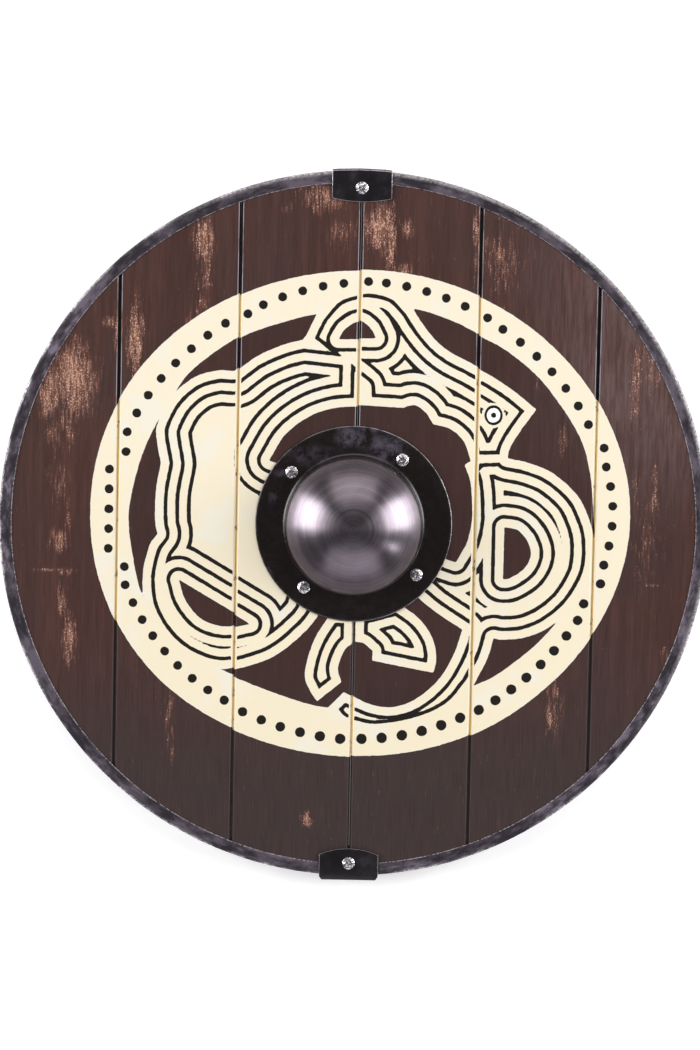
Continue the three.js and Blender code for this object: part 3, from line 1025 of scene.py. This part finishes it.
@dataclass
class Planks:
    """Six upright planks with a chamfered groove at every joint, painted on the face."""

    count: int = 6
    cell: float = 1.25 * MM
    groove_half: float = 2.2 * MM
    groove_depth: float = 2.0 * MM
    chamfer: float = 0.9 * MM
    hand_hole: float = 54 * MM
    hole_sides: int = 128
    rivet_hole: float = 2.7 * MM
    grain_shift: float = 0.37
    finish: StainedBoards = StainedBoards()

    def __post_init__(self) -> None:
        """Reads the planks' places from the frame."""
        boxes = [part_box(f"board_{i + 1}") for i in range(self.count)]
        self.left = [low.x for low, _ in boxes]
        self.right = [high.x for _, high in boxes]
        self.back = boxes[0][0].z
        self.front = boxes[0][1].z
        self.radius = -self.left[0]
        self.joints = [(a + b) / 2 for a, b in zip(self.right, self.left[1:])]
        self.gap = (self.left[1] - self.right[0]) / 2
        self.middle = self.joints[self.count // 2 - 1]

    def joint_edge(self) -> list[Point]:
        """Gives half of a joint as distances from its middle and heights, from the back up."""
        core = self.groove_half - self.chamfer
        floor = self.front - self.groove_depth
        return [
            (self.gap, self.back),
            (self.gap, floor),
            (core, floor),
            (core, self.front - self.chamfer),
            ((core + self.groove_half) / 2, self.front - self.chamfer / 2),
            (self.groove_half - 0.1 * MM, self.front - 0.12 * MM),
            (self.groove_half + 0.05 * MM, self.front - 0.02 * MM),
            (self.groove_half + 0.25 * MM, self.front),
        ]

    def section(self, index: int) -> np.ndarray:
        """Gives a plank's front from its left edge to its right, as x and z."""
        left, right = -self.radius, self.radius
        left_edge: list[Point] = [(left, self.front)]
        right_edge: list[Point] = [(right, self.front)]
        if index > 0:
            left = self.joints[index - 1]
            left_edge = [(left + d, z) for d, z in self.joint_edge()]
        if index < self.count - 1:
            right = self.joints[index]
            right_edge = [(right - d, z) for d, z in reversed(self.joint_edge())]
        start, end = left_edge[-1][0], right_edge[0][0]
        cells = math.ceil((end - start) / self.cell)
        flat = [(x, self.front) for x in np.linspace(start, end, cells + 1)[1:-1]]
        return np.array([*left_edge, *flat, *right_edge])

    def blank(self, index: int) -> bpy.types.Mesh:
        """Makes a plank before its holes are cut: a fine front, a plain edge and back."""
        section = self.section(index)
        half = np.sqrt(np.maximum(self.radius**2 - section[:, 0] ** 2, 0))
        rows = math.ceil(2 * half.max() / self.cell) + 1
        share = np.linspace(-1, 1, rows)
        columns = len(section)
        front = np.empty((columns, rows, 3))
        front[:, :, 0] = section[:, :1]
        front[:, :, 1] = half[:, None] * share
        front[:, :, 2] = section[:, 1:]
        numbers = np.arange(columns * rows).reshape(columns, rows)
        faces = np.stack(
            [numbers[:-1, :-1], numbers[1:, :-1], numbers[1:, 1:], numbers[:-1, 1:]], axis=-1
        ).reshape(-1, 4).tolist()
        rim = [*numbers[:, 0], *numbers[-1, 1:], *numbers[-2::-1, -1], *numbers[0, -2:0:-1]]
        edge = front.reshape(-1, 3)[rim].copy()
        edge[:, 2] = self.back
        first = columns * rows
        lower = list(range(first, first + len(rim)))
        for i, top in enumerate(rim):
            after = (i + 1) % len(rim)
            faces.append([top, lower[i], lower[after], rim[after]])
        faces.append(lower[::-1])
        mesh = mesh_of(f"plank_{index + 1}", np.vstack([front.reshape(-1, 3), edge]), faces)
        tidy_mesh(mesh)
        return mesh

    def cutter(self) -> bpy.types.Object:
        """Makes the hand hole and the rivet holes as one solid to cut away."""
        boss = middle_of("boss")
        rods = [(boss.x, boss.y, self.hand_hole, self.hole_sides)]
        for node in RIVET_NODES:
            place = middle_of(node)
            rods.append((place.x, place.y, self.rivet_hole, 24))
        work = bmesh.new()
        for x, y, radius, sides in rods:
            at = Matrix.Translation((x, y, (self.front + self.back) / 2))
            bmesh.ops.create_cone(
                work, cap_ends=True, segments=sides, radius1=radius, radius2=radius,
                depth=40 * MM, matrix=at,
            )
        mesh = bpy.data.meshes.new("cutter")
        work.to_mesh(mesh)
        work.free()
        return add_object("cutter", mesh)

    def build(self) -> list[bpy.types.Object]:
        """Makes, cuts and paints the planks."""
        painting = Painting(tuple((j - self.middle) / MM for j in self.joints))
        pitch = self.joints[1] - self.joints[0]
        material = self.finish.material(self.front, self.chamfer, self.middle, pitch)
        cutter = self.cutter()
        planks = []
        for index in range(self.count):
            plank = add_object(f"plank_{index + 1}", self.blank(index))
            if index in (self.count // 2 - 1, self.count // 2):
                cut = plank.modifiers.new("holes", "BOOLEAN")
                cut.object = cutter
                cut.operation = "DIFFERENCE"
                cut.solver = "MANIFOLD"
                baked(plank)
                plank.data.shade_flat()
            self.paint(plank.data, index, painting)
            finish_in(plank.data, material)
            install(plank, "painted_boards", f"board_{index + 1}")
            planks.append(plank)
        bpy.data.objects.remove(cutter)
        return planks

    def paint(self, mesh: bpy.types.Mesh, index: int, painting: Painting) -> None:
        """Keeps the painting's fields on a plank's mesh."""
        places = np.empty(len(mesh.vertices) * 3)
        mesh.vertices.foreach_get("co", places)
        places = places.reshape(-1, 3)
        front = places[:, 2] > self.front - 1.5 * self.groove_depth
        flat = (places[front, :2] - [self.middle, 0]) / MM
        for paint, values in painting.fields(flat, index).items():
            away = 0.0 if paint is Paint.WEAR else -painting.reach
            everywhere = np.full(len(places), away)
            everywhere[front] = values
            keep(mesh, paint.value, everywhere)
        keep(mesh, "plank", np.full(len(places), self.grain_shift * index))


RIVET_NODES = (
    "boss_rivet_1", "boss_rivet_2", "boss_rivet_3", "boss_rivet_4",
    "top_clip_rivet", "bottom_clip_rivet",
)


# ---- Geometry node trees ------------------------------------------------------------------


class GeometryTree(Graph):
    """A geometry node tree with named inputs."""

    def __init__(self, name: str, **inputs: str) -> None:
        """Makes the tree.

        Args:
            name: The tree's name.
            inputs: The kind of each input after the geometry, such as Float or Object.
        """
        super().__init__(bpy.data.node_groups.new(name, "GeometryNodeTree"))
        sockets = self.tree.interface
        sockets.new_socket("Geometry", in_out="INPUT", socket_type="NodeSocketGeometry")
        self.identifiers = {
            label: sockets.new_socket(
                label, in_out="INPUT", socket_type=f"NodeSocket{kind}"
            ).identifier
            for label, kind in inputs.items()
        }
        sockets.new_socket("Geometry", in_out="OUTPUT", socket_type="NodeSocketGeometry")
        self.given = self.add("NodeGroupInput").outputs

    def geometry(self, kind: str, **inputs: object) -> Socket:
        """Adds a geometry node, its inputs named with underscores, and gives its first output."""
        named = {key.replace("_", " "): value for key, value in inputs.items()}
        return self.add(f"GeometryNode{kind}", named).outputs[0]

    def shape_of(self, label: str) -> Socket:
        """Gives the geometry of the object in a named input."""
        info = self.add("GeometryNodeObjectInfo", {"Object": self.given[label]})
        return info.outputs["Geometry"]

    def finish(self, geometry: Socket) -> None:
        """Ends the tree with real geometry in its material."""
        real = self.geometry("RealizeInstances", Geometry=geometry)
        shaded = self.geometry("SetShadeSmooth", Geometry=real, Shade_Smooth=True)
        dressed = self.geometry("SetMaterial", Geometry=shaded, Material=self.given["Material"])
        self.add("NodeGroupOutput", {"Geometry": dressed})

    def run(self, made: bpy.types.Object, **values: object) -> bpy.types.Object:
        """Runs the tree on an object and keeps the result as its plain mesh.

        Args:
            made: The object to run on.
            values: A value for every named input.

        Returns:
            The object, with no modifier.
        """
        modifier = made.modifiers.new(self.tree.name, "NODES")
        modifier.node_group = self.tree
        for label, value in values.items():
            modifier[self.identifiers[label]] = value
        return baked(made)


def profile_curve(name: str, points: Sequence[Point], closed: bool = False) -> bpy.types.Object:
    """Makes a profile as a curve in the XY plane, for a tree to turn or sweep."""
    curve = bpy.data.curves.new(name, "CURVE")
    curve.dimensions = "3D"
    spline = curve.splines.new("POLY")
    spline.points.add(len(points) - 1)
    for target, (x, y) in zip(spline.points, points):
        target.co = (x, y, 0, 1)
    spline.use_cyclic_u = closed
    return add_object(name, curve)


def lathe_surface(tree: GeometryTree) -> Socket:
    """Adds the nodes that turn the Profile input about Z into a surface of revolution.

    Args:
        tree: The tree, with inputs Profile, whose x is the radius and y the height, and Sides.

    Returns:
        The surface, about the origin, with the distance along the profile kept as "along".
    """
    profile = tree.shape_of("Profile")
    size = tree.add("GeometryNodeAttributeDomainSize", {"Geometry": profile}, component="CURVE")
    count = size.outputs["Point Count"]
    around = tree.plus(tree.given["Sides"], 1)
    grid = tree.geometry("MeshGrid", Vertices_X=count, Vertices_Y=around)
    index = tree.geometry("InputIndex")
    step = tree.math("FLOOR", tree.math("DIVIDE", tree.plus(index, 0.5), around))
    side = tree.math("SUBTRACT", index, tree.times(step, around))
    position = tree.geometry("InputPosition")
    sample = tree.add(
        "GeometryNodeSampleIndex",
        {"Geometry": profile, "Value": position, "Index": step},
        data_type="FLOAT_VECTOR",
        domain="POINT",
    )
    radius, height, _ = tree.split(sample.outputs["Value"])
    turn = tree.times(tree.math("DIVIDE", side, tree.given["Sides"]), 2 * math.pi)
    place = tree.join(
        tree.times(radius, tree.math("COSINE", turn)),
        tree.times(radius, tree.math("SINE", turn)),
        height,
    )
    surface = tree.geometry("SetPosition", Geometry=grid, Position=place)
    kept = tree.add(
        "GeometryNodeStoreNamedAttribute",
        {"Geometry": surface, "Name": "along", "Value": step},
        data_type="FLOAT",
        domain="POINT",
    )
    return tree.geometry("MergeByDistance", Geometry=kept.outputs[0], Distance=1e-6)


def turned_tree() -> GeometryTree:
    """Makes the tree that turns one profile about an upright axis."""
    tree = GeometryTree(
        "turned_piece", Profile="Object", Sides="Int", Axis="Vector", Material="Material"
    )
    turned = lathe_surface(tree)
    tree.finish(tree.geometry("Transform", Geometry=turned, Translation=tree.given["Axis"]))
    return tree


def rivet_tree() -> GeometryTree:
    """Makes the tree that sets a turned rivet on every point, each turned its own way."""
    tree = GeometryTree(
        "set_rivets", Profile="Object", Sides="Int", Seed="Int", Material="Material"
    )
    turn = tree.add(
        "FunctionNodeRandomValue",
        {"Min": (0, 0, 0), "Max": (0, 0, 2 * math.pi), "Seed": tree.given["Seed"]},
        data_type="FLOAT_VECTOR",
    )
    placed = tree.geometry(
        "InstanceOnPoints",
        Points=tree.given["Geometry"],
        Instance=lathe_surface(tree),
        Rotation=turn.outputs[0],
    )
    tree.finish(placed)
    return tree


def hoop_tree() -> GeometryTree:
    """Makes the tree that sweeps the rim's section along an arc and hammers its outside."""
    tree = GeometryTree(
        "hammered_hoop", Section="Object", Radius="Float", Start="Float", Sweep="Float",
        Steps="Int", Core="Vector", Dint="Float", Seed="Int", Material="Material",
    )
    path = tree.geometry(
        "CurveArc",
        Resolution=tree.given["Steps"],
        Radius=tree.given["Radius"],
        Start_Angle=tree.given["Start"],
        Sweep_Angle=tree.given["Sweep"],
    )
    section = tree.shape_of("Section")
    swept = tree.geometry("CurveToMesh", Curve=path, Profile_Curve=section, Fill_Caps=True)
    position = tree.geometry("InputPosition")
    normal = tree.geometry("InputNormal")
    x, y, _ = tree.split(position)
    spoke = tree.vector("NORMALIZE", tree.join(x, y))
    core_radius, _, core_height = tree.split(tree.given["Core"])
    core = tree.vector(
        "ADD",
        tree.vector("MULTIPLY", spoke, tree.join(core_radius, core_radius)),
        tree.join(0.0, 0.0, core_height),
    )
    outward = tree.add(
        "ShaderNodeVectorMath",
        {0: normal, 1: tree.vector("SUBTRACT", position, core)},
        operation="DOT_PRODUCT",
    ).outputs["Value"]
    outside = tree.math("GREATER_THAN", outward, 0.0)
    shifted = tree.vector("ADD", position, tree.join(tree.given["Seed"]))
    broad = tree.noise(shifted, 55, 1)
    small = tree.noise(shifted, 190, 1)
    depth = tree.plus(tree.times(broad, 0.6), tree.times(small, 0.4)
    )
    push = tree.times(tree.times(depth, outside), tree.given["Dint"])
    inward = tree.vector("SCALE", normal)
    tree.tree.links.new(tree.times(push, -1), inward.node.inputs["Scale"])
    tree.finish(tree.geometry("SetPosition", Geometry=swept, Offset=inward))
    return tree


# ---- Rim, clips, boss, rivets and handle --------------------------------------------------


@dataclass
class Rim:
    """Two half hoops of folded strip, hammered on the outside."""

    sheet: float = 1.2 * MM
    flange: float = 11 * MM
    bend: float = 2 * MM
    clearance: float = 0.04 * MM
    dint: float = 0.6 * MM
    steps: int = 520
    seed: int = 4
    finish: HammeredSteel = HammeredSteel()

    def __post_init__(self) -> None:
        """Reads the rim's place from the frame."""
        low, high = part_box("rim_left")
        self.radius = -low.x - self.clearance
        self.bottom = low.z + self.clearance
        self.top = high.z - self.clearance
        self.joint_left = high.x
        self.joint_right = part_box("rim_right")[0].x

    def section(self) -> list[Point]:
        """Gives the strip's section: x outwards from the panel's edge path, y upwards."""
        lip = -self.flange
        low, high = self.bottom, self.top
        inner = self.bend - self.sheet
        flat_steps = 8
        upper = [(x, high) for x in np.linspace(lip, -self.bend, flat_steps + 1)[1:-1]]
        wall = [(0.0, z) for z in np.linspace(high - self.bend, low + self.bend, 9)[1:-1]]
        lower = [(x, low) for x in np.linspace(-self.bend, lip, flat_steps + 1)[1:-1]]
        rounding = 0.25 * MM
        return [
            (lip + rounding, high),
            *upper,
            *arc((-self.bend, high - self.bend), self.bend, 90, 0, 7),
            *wall,
            *arc((-self.bend, low + self.bend), self.bend, 0, -90, 7),
            *lower,
            (lip + rounding, low),
            (lip, low + rounding),
            (lip, low + self.sheet),
            (-self.bend, low + self.sheet),
            *arc((-self.bend, low + self.bend), inner, -60, 0, 2),
            *arc((-self.bend, high - self.bend), inner, 0, 60, 2),
            (-self.bend, high - self.sheet),
            (lip, high - self.sheet),
            (lip, high - rounding),
        ]

    def build(self) -> None:
        """Makes both hoops."""
        material = self.finish.material(self.radius, self.radius - self.flange, self.top)
        tree = hoop_tree()
        section = profile_curve("rim_section", [(x, -z) for x, z in self.section()], closed=True)
        core = (self.radius - self.flange / 2, 0, (self.top + self.bottom) / 2)
        top_left = math.acos(self.joint_left / self.radius)
        top_right = math.acos(self.joint_right / self.radius)
        halves = (
            ("left_hoop", "rim_left", top_left, 2 * (math.pi - top_left), 0),
            ("right_hoop", "rim_right", -top_right, 2 * top_right, 1),
        )
        for name, node, start, sweep, extra in halves:
            hoop = add_object(name, bpy.data.meshes.new(name))
            tree.run(
                hoop, Section=section, Radius=self.radius, Start=start, Sweep=sweep,
                Steps=self.steps, Core=core, Dint=self.dint, Seed=self.seed + extra,
                Material=material,
            )
            tidy_mesh(hoop.data, smooth_angle=40)
            install(hoop, "rim_steel", node)
        bpy.data.objects.remove(section)


@dataclass
class Clips:
    """The two folded plates over the rim's joints, with softened and chipped edges."""

    softening: float = 0.35 * MM
    finish: BlackSheet = BlackSheet()

    def build(self) -> None:
        """Makes both clips from the frame's own plates."""
        material = self.finish.material()
        for name, node in (("upper_clip", "top_clip"), ("lower_clip", "bottom_clip")):
            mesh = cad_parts[node].data.copy()
            clip = add_object(name, mesh)
            self.soften(mesh)
            finish_in(mesh, material)
            install(clip, "clip_steel", node)

    def soften(self, mesh: bpy.types.Mesh) -> None:
        """Rounds the plate's edges and marks them for chipping."""
        work = bmesh.new()
        work.from_mesh(mesh)
        bmesh.ops.remove_doubles(work, verts=work.verts, dist=1e-6)
        bmesh.ops.dissolve_limit(
            work, angle_limit=math.radians(1), verts=work.verts, edges=work.edges
        )
        edge = work.faces.layers.float.new("edge")
        sharp = [e for e in work.edges if len(e.link_faces) == 2 and e.calc_face_angle() > 0.5]
        bevelled = bmesh.ops.bevel(
            work, geom=sharp, offset=self.softening, offset_type="OFFSET", segments=2,
            profile=0.6, affect="EDGES", clamp_overlap=True,
        )
        for face in bevelled["faces"]:
            face[edge] = 1.0
        bmesh.ops.triangulate(work, faces=[f for f in work.faces if len(f.verts) > 4])
        work.to_mesh(mesh)
        work.free()
        tidy_mesh(mesh, smooth_angle=30)


SMUDGES = tuple(
    Rub(*row)
    for row in (
        (-3, 77, 13, 9, 1.0), (27, 68, 15, 11, 1.0), (-38, 60, 18, 8, 0.5), (12, 84, 8, 4, 0.7),
        (-69, 24, 4, 5, 0.8), (-72, -40, 4, 6, 0.7), (-64, 46, 5, 4, 0.6),
    )
)


@dataclass
class Boss:
    """One spun sheet: a black flange and a polished hollow dome."""

    sheet: float = 1.6 * MM
    wall_radius: float = 58 * MM
    fillet: float = 4 * MM
    shoulder: float = 4.5 * MM
    shoulder_height: float = 20 * MM
    cap_slope: float = 48.0
    sides: int = 256
    paint_edge: float = 0.9 * MM
    steel: SpunSteel = SpunSteel()
    lacquer: BlackFlange = BlackFlange()

    def __post_init__(self) -> None:
        """Reads the boss's place from the frame."""
        low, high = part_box("boss")
        self.centre = (low + high) / 2
        self.base = low.z
        self.flange_radius = (high.x - low.x) / 2

    def face(self, inset: float, steps: int) -> list[Point]:
        """Gives one face of the sheet, from the flange's edge to the crown.

        Args:
            inset: How far inside the outer face it lies.
            steps: Steps in each round stretch.

        Returns:
            Radius and height above the boards at each point.
        """
        slope = math.radians(self.cap_slope)
        reach = self.wall_radius - self.shoulder
        cap_radius = self.shoulder + reach / math.sin(slope)
        cap_z = self.shoulder_height - (cap_radius - self.shoulder) * math.cos(slope)
        fillet_at = (self.wall_radius + self.fillet, self.sheet + self.fillet)
        shoulder_at = (reach, self.shoulder_height)
        top = self.sheet - inset
        flange = np.linspace(self.flange_radius - 0.3 * MM, fillet_at[0], 12)[:-1]
        cap = arc((0, cap_z), cap_radius - inset, 90 - self.cap_slope, 90, 4 * steps)
        return [
            *((r, top) for r in flange),
            *arc(fillet_at, self.fillet + inset, -90, -180, steps),
            *arc(shoulder_at, self.shoulder - inset, 0, 90 - self.cap_slope, steps),
            *cap[1:-1],
            (0.0, cap_z + cap_radius - inset),
        ]

    def profile(self) -> list[Point]:
        """Gives the whole section, from the outer crown round the flange to the inner crown."""
        outer = self.face(0, 8)
        inner = self.face(self.sheet, 4)
        rounding = 0.3 * MM
        edge = [
            (self.flange_radius, self.sheet - rounding),
            (self.flange_radius, rounding),
        ]
        return [(r, self.base + z) for r, z in (*reversed(outer), *edge, *inner)]

    def build(self) -> None:
        """Makes the boss and gives the dome and the flange their own finishes."""
        axis = (self.centre.x, self.centre.y, 0)
        steel = self.steel.material(Vector(axis))
        lacquer = self.lacquer.material(Vector(axis), self.flange_radius)
        profile = profile_curve("boss_profile", self.profile())
        dome = add_object("domed_boss", bpy.data.meshes.new("domed_boss"))
        turned_tree().run(dome, Profile=profile, Sides=self.sides, Axis=axis, Material=steel)
        bpy.data.objects.remove(profile)
        tidy_mesh(dome.data, smooth_angle=50)
        finish_in(dome.data, steel, lacquer)
        for face in dome.data.polygons:
            out = (face.center - Vector(axis)).xy.length
            face.material_index = int(out > self.wall_radius + self.paint_edge)
        self.smudge(dome.data)
        install(dome, "boss_steel", "boss")

    def smudge(self, mesh: bpy.types.Mesh) -> None:
        """Marks the dull smudges on the flange."""
        places = np.array([v.co.xy - self.centre.xy for v in mesh.vertices]) / MM
        total = np.zeros(len(places))
        for mark in SMUDGES:
            across = (places[:, 0] - mark.x) / mark.half_width
            along = (places[:, 1] + self.centre.y / MM - mark.y) / mark.half_height
            total = np.maximum(total, mark.strength * np.exp(-(across**4) - along**4))
        keep(mesh, "smudge", total)


@dataclass
class Rivets:
    """Blind rivets: four through the boss's flange and one through each clip."""

    head: float = 5.5 * MM
    dome: float = 1.9 * MM
    brim: float = 0.5 * MM
    shank: float = 2.4 * MM
    mandrel: float = 1.3 * MM
    recess: float = 0.8 * MM
    bulb: float = 4.0 * MM
    tail: float = 4.8 * MM
    sides: int = 40
    seed: int = 7
    finish: BrightRivet = BrightRivet()

    def profile(self, grip: float) -> list[Point]:
        """Gives a rivet's section, with its head seated at height 0 and its tail below the grip."""
        rise = self.dome - self.brim
        ball = (self.head**2 + rise**2) / (2 * rise)
        lip = 0.35 * MM
        radii = np.linspace(self.mandrel + lip, self.head - 0.15 * MM, 9)
        crown = [(r, self.dome - ball + math.sqrt(ball**2 - r**2)) for r in radii]
        floor = self.dome - self.recess
        end = -grip - self.tail
        return [
            (0.0, floor + 0.25 * MM),
            (self.mandrel * 0.8, floor + 0.2 * MM),
            (self.mandrel, floor),
            (self.mandrel, crown[0][1] - 0.2 * MM),
            *crown,
            (self.head, self.brim - 0.1 * MM),
            (self.head, 0.1 * MM),
            (self.head - 0.1 * MM, 0.0),
            (self.shank, 0.0),
            (self.shank, -grip),
            (self.bulb, -grip - 0.3 * MM),
            (self.bulb, -grip - self.tail * 0.5),
            (self.shank + 0.4 * MM, end + 0.5 * MM),
            (self.shank, end),
            (0.0, end),
        ]

    def build(self) -> None:
        """Makes the boss's rivets as one piece and the clips' rivets as another."""
        tree = rivet_tree()
        material = self.finish.material()
        for name, nodes in (("boss_rivets", RIVET_NODES[:4]), ("clip_rivets", RIVET_NODES[4:])):
            low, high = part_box(nodes[0])
            seat = high.z - self.dome
            grip = seat - low.z - self.tail
            places = np.array([[middle_of(n).x, middle_of(n).y, seat] for n in nodes])
            profile = profile_curve(f"{name}_profile", self.profile(grip))
            rivets = add_object(name, mesh_of(name, places, []))
            tree.run(
                rivets, Profile=profile, Sides=self.sides, Seed=self.seed, Material=material
            )
            bpy.data.objects.remove(profile)
            tidy_mesh(rivets.data, smooth_angle=45)
            self.mark_holes(rivets.data, places)
            install(rivets, "rivet_metal", *nodes)

    def mark_holes(self, mesh: bpy.types.Mesh, places: np.ndarray) -> None:
        """Marks the vertices in and just round the mandrel holes."""
        points = np.array([v.co for v in mesh.vertices])
        away = np.min(
            [np.hypot(points[:, 0] - x, points[:, 1] - y) for x, y, _ in places], axis=0
        )
        inside = (away < self.mandrel * 1.05) & (points[:, 2] > places[0][2])
        keep(mesh, "hole", inside)


@dataclass
class Handle:
    """The wooden bar across the back: flat underneath, swelling into the hand hole."""

    depth: float = 15 * MM
    end_depth: float = 8 * MM
    flat_half: float = 130 * MM
    waist_half_length: float = 30 * MM
    waist_half_width: float = 14 * MM
    shoulder_x: float = 62 * MM
    shoulder_half_width: float = 18.9 * MM
    end_half_width: float = 11 * MM
    palm_rise: float = 7 * MM
    palm_top: float = 18 * MM
    palm_half: float = 44 * MM
    corner: float = 5 * MM
    stations: int = 136
    finish: HandleWood = HandleWood()

    def half_width(self, away: np.ndarray) -> np.ndarray:
        """Gives half the bar's width at distances from its middle."""
        palm = ease(away, self.waist_half_length, self.shoulder_x)
        wide = self.waist_half_width + palm * (self.shoulder_half_width - self.waist_half_width)
        taper = ease(away, self.shoulder_x, self.half_length)
        narrowing = self.end_half_width - self.shoulder_half_width
        return wide + taper * narrowing * (away > self.shoulder_x)

    def build(self) -> None:
        """Lofts the bar's section along X."""
        low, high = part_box("grip_bar")
        self.half_length = high.x - 0.02 * MM
        x = self.half_length * np.sin(np.linspace(-math.pi / 2, math.pi / 2, self.stations))
        away = np.abs(x)
        half = self.half_width(away)
        bottom = low.z + (self.depth - self.end_depth) * ease(away, self.flat_half, self.half_length)
        palm = 1 - ease(away, self.palm_top, self.palm_half)
        top = self.depth + self.palm_rise * palm - 0.02 * MM
        rings = [
            [(cx, y, z) for y, z in self.ring(h, b, t, p)]
            for cx, h, b, t, p in zip(x, half, bottom, top, palm)
        ]
        count = len(rings[0])
        faces = []
        for i in range(len(rings) - 1):
            here, there = i * count, (i + 1) * count
            for j in range(count):
                after = (j + 1) % count
                faces.append([here + j, here + after, there + after, there + j])
        faces.append(list(range(count))[::-1])
        faces.append([(len(rings) - 1) * count + j for j in range(count)])
        mesh = mesh_of("handle", np.array(rings).reshape(-1, 3), faces)
        tidy_mesh(mesh, smooth_angle=40)
        finish_in(mesh, self.finish.material())
        install(add_object("handle", mesh), "grip_wood", "grip_bar")

    def ring(self, half: float, bottom: float, top: float, palm: float) -> list[Point]:
        """Gives the section at one station, rounder on top where the palm swells."""
        under = self.corner
        over = 1.5 * MM + palm * 7 * MM
        return [
            *arc((-half + under, bottom + under), under, 180, 270, 6),
            *arc((half - under, bottom + under), under, 270, 360, 6),
            *arc((half - over, top - over), over, 0, 90, 6),
            *arc((-half + over, top - over), over, 90, 180, 6),
        ]


# ---- Studio -------------------------------------------------------------------------------


@dataclass(frozen=True)
class Softbox:
    """An area light aimed at the shield: where it stands, its size and its power."""

    name: str
    azimuth: float
    elevation: float
    size: tuple[float, float]
    power: float
    tint: Colour = (1.0, 1.0, 1.0)
    distance: float = 2.6


SOFTBOXES = (
    Softbox("left_softbox", 170, 28, (1.5, 1.6), 70),
    Softbox("right_softbox", 12, 28, (1.5, 1.6), 70),
    Softbox("top_panel", 90, 42, (2.6, 1.6), 24, (1.0, 0.96, 0.94)),
    Softbox("bottom_panel", -90, 38, (3.0, 1.8), 20, (0.98, 0.95, 1.0)),
    Softbox("low_right_card", -30, 30, (0.22, 0.22), 5),
)


@dataclass
class Studio:
    """The pale floor, the lights and the camera over the shield."""

    off_normal: float = 6.0
    roll: float = 1.15
    distance: float = 3.4
    frame_width: float = 602.7 * MM
    aim_x: float = -3.1 * MM
    aim_y: float = 0.4 * MM
    sensor: float = 36.0
    floor_half: float = 6.0
    ambient: float = 0.09

    def build(self) -> None:
        """Sets the whole stage."""
        self.floor()
        for softbox in SOFTBOXES:
            self.light(softbox)
        self.world()
        self.camera()
        bpy.context.scene.view_settings.view_transform = "Standard"

    def floor(self) -> None:
        """Lays a plain pale floor under the shield."""
        half = self.floor_half
        corners = np.array([(-half, -half, 0), (half, -half, 0), (half, half, 0), (-half, half, 0)])
        mesh = mesh_of("floor", corners, [[0, 1, 2, 3]])
        s = Shader("pale_floor")
        shade = s.ramp(s.noise(s.place, 3, 2), 0.3, 0.7, 0.0, 1.0)
        colour = s.mix(shade, (0.95, 0.95, 0.95), (0.97, 0.97, 0.97))
        mesh.materials.append(
            s.dress(
                Base_Color=colour,
                Roughness=0.9,
                Specular_IOR_Level=0.1,
                Emission_Color=(1.0, 1.0, 1.0),
                Emission_Strength=0.22,
            )
        )
        add_object("floor", mesh)

    def light(self, softbox: Softbox) -> None:
        """Hangs one softbox and turns it to the shield."""
        data = bpy.data.lights.new(softbox.name, "AREA")
        data.shape = "RECTANGLE"
        data.size, data.size_y = softbox.size
        data.energy = softbox.power
        data.color = softbox.tint
        lamp = add_object(softbox.name, data)
        azimuth, elevation = math.radians(softbox.azimuth), math.radians(softbox.elevation)
        level = math.cos(elevation)
        towards = Vector((level * math.cos(azimuth), level * math.sin(azimuth), math.sin(elevation)))
        lamp.location = towards * softbox.distance
        lamp.rotation_euler = towards.to_track_quat("Z", "Y").to_euler()

    def world(self) -> None:
        """Gives the room a dim even light."""
        world = bpy.data.worlds.new("room")
        world.use_nodes = True
        background = world.node_tree.nodes["Background"]
        background.inputs["Color"].default_value = (1, 1, 1, 1)
        background.inputs["Strength"].default_value = self.ambient
        bpy.context.scene.world = world

    def camera(self) -> None:
        """Hangs the camera over the shield, a little towards its top edge."""
        tilt = math.radians(self.off_normal)
        roll = math.radians(self.roll)
        back = Vector((0, math.sin(tilt), math.cos(tilt)))
        up = Vector((-math.sin(roll), math.cos(roll), 0))
        right = up.cross(back).normalized()
        up = back.cross(right)
        target = Vector((self.aim_x, self.aim_y, middle_of("board_3").z))
        data = bpy.data.cameras.new("camera")
        data.sensor_fit = "HORIZONTAL"
        data.sensor_width = self.sensor
        data.lens = self.sensor * self.distance / self.frame_width
        data.clip_end = 50
        camera = add_object("camera", data)
        place = target + back * self.distance
        camera.matrix_world = Matrix.Translation(place) @ Matrix((right, up, back)).transposed().to_4x4()
        bpy.context.scene.camera = camera


def main() -> None:
    """Builds the shield and its stage."""
    logging.basicConfig(level=logging.INFO, format="%(name)s: %(message)s")
    Studio().build()
    Planks().build()
    Rim().build()
    Clips().build()
    Boss().build()
    Rivets().build()
    Handle().build()


if __name__ == "__main__":
    main()
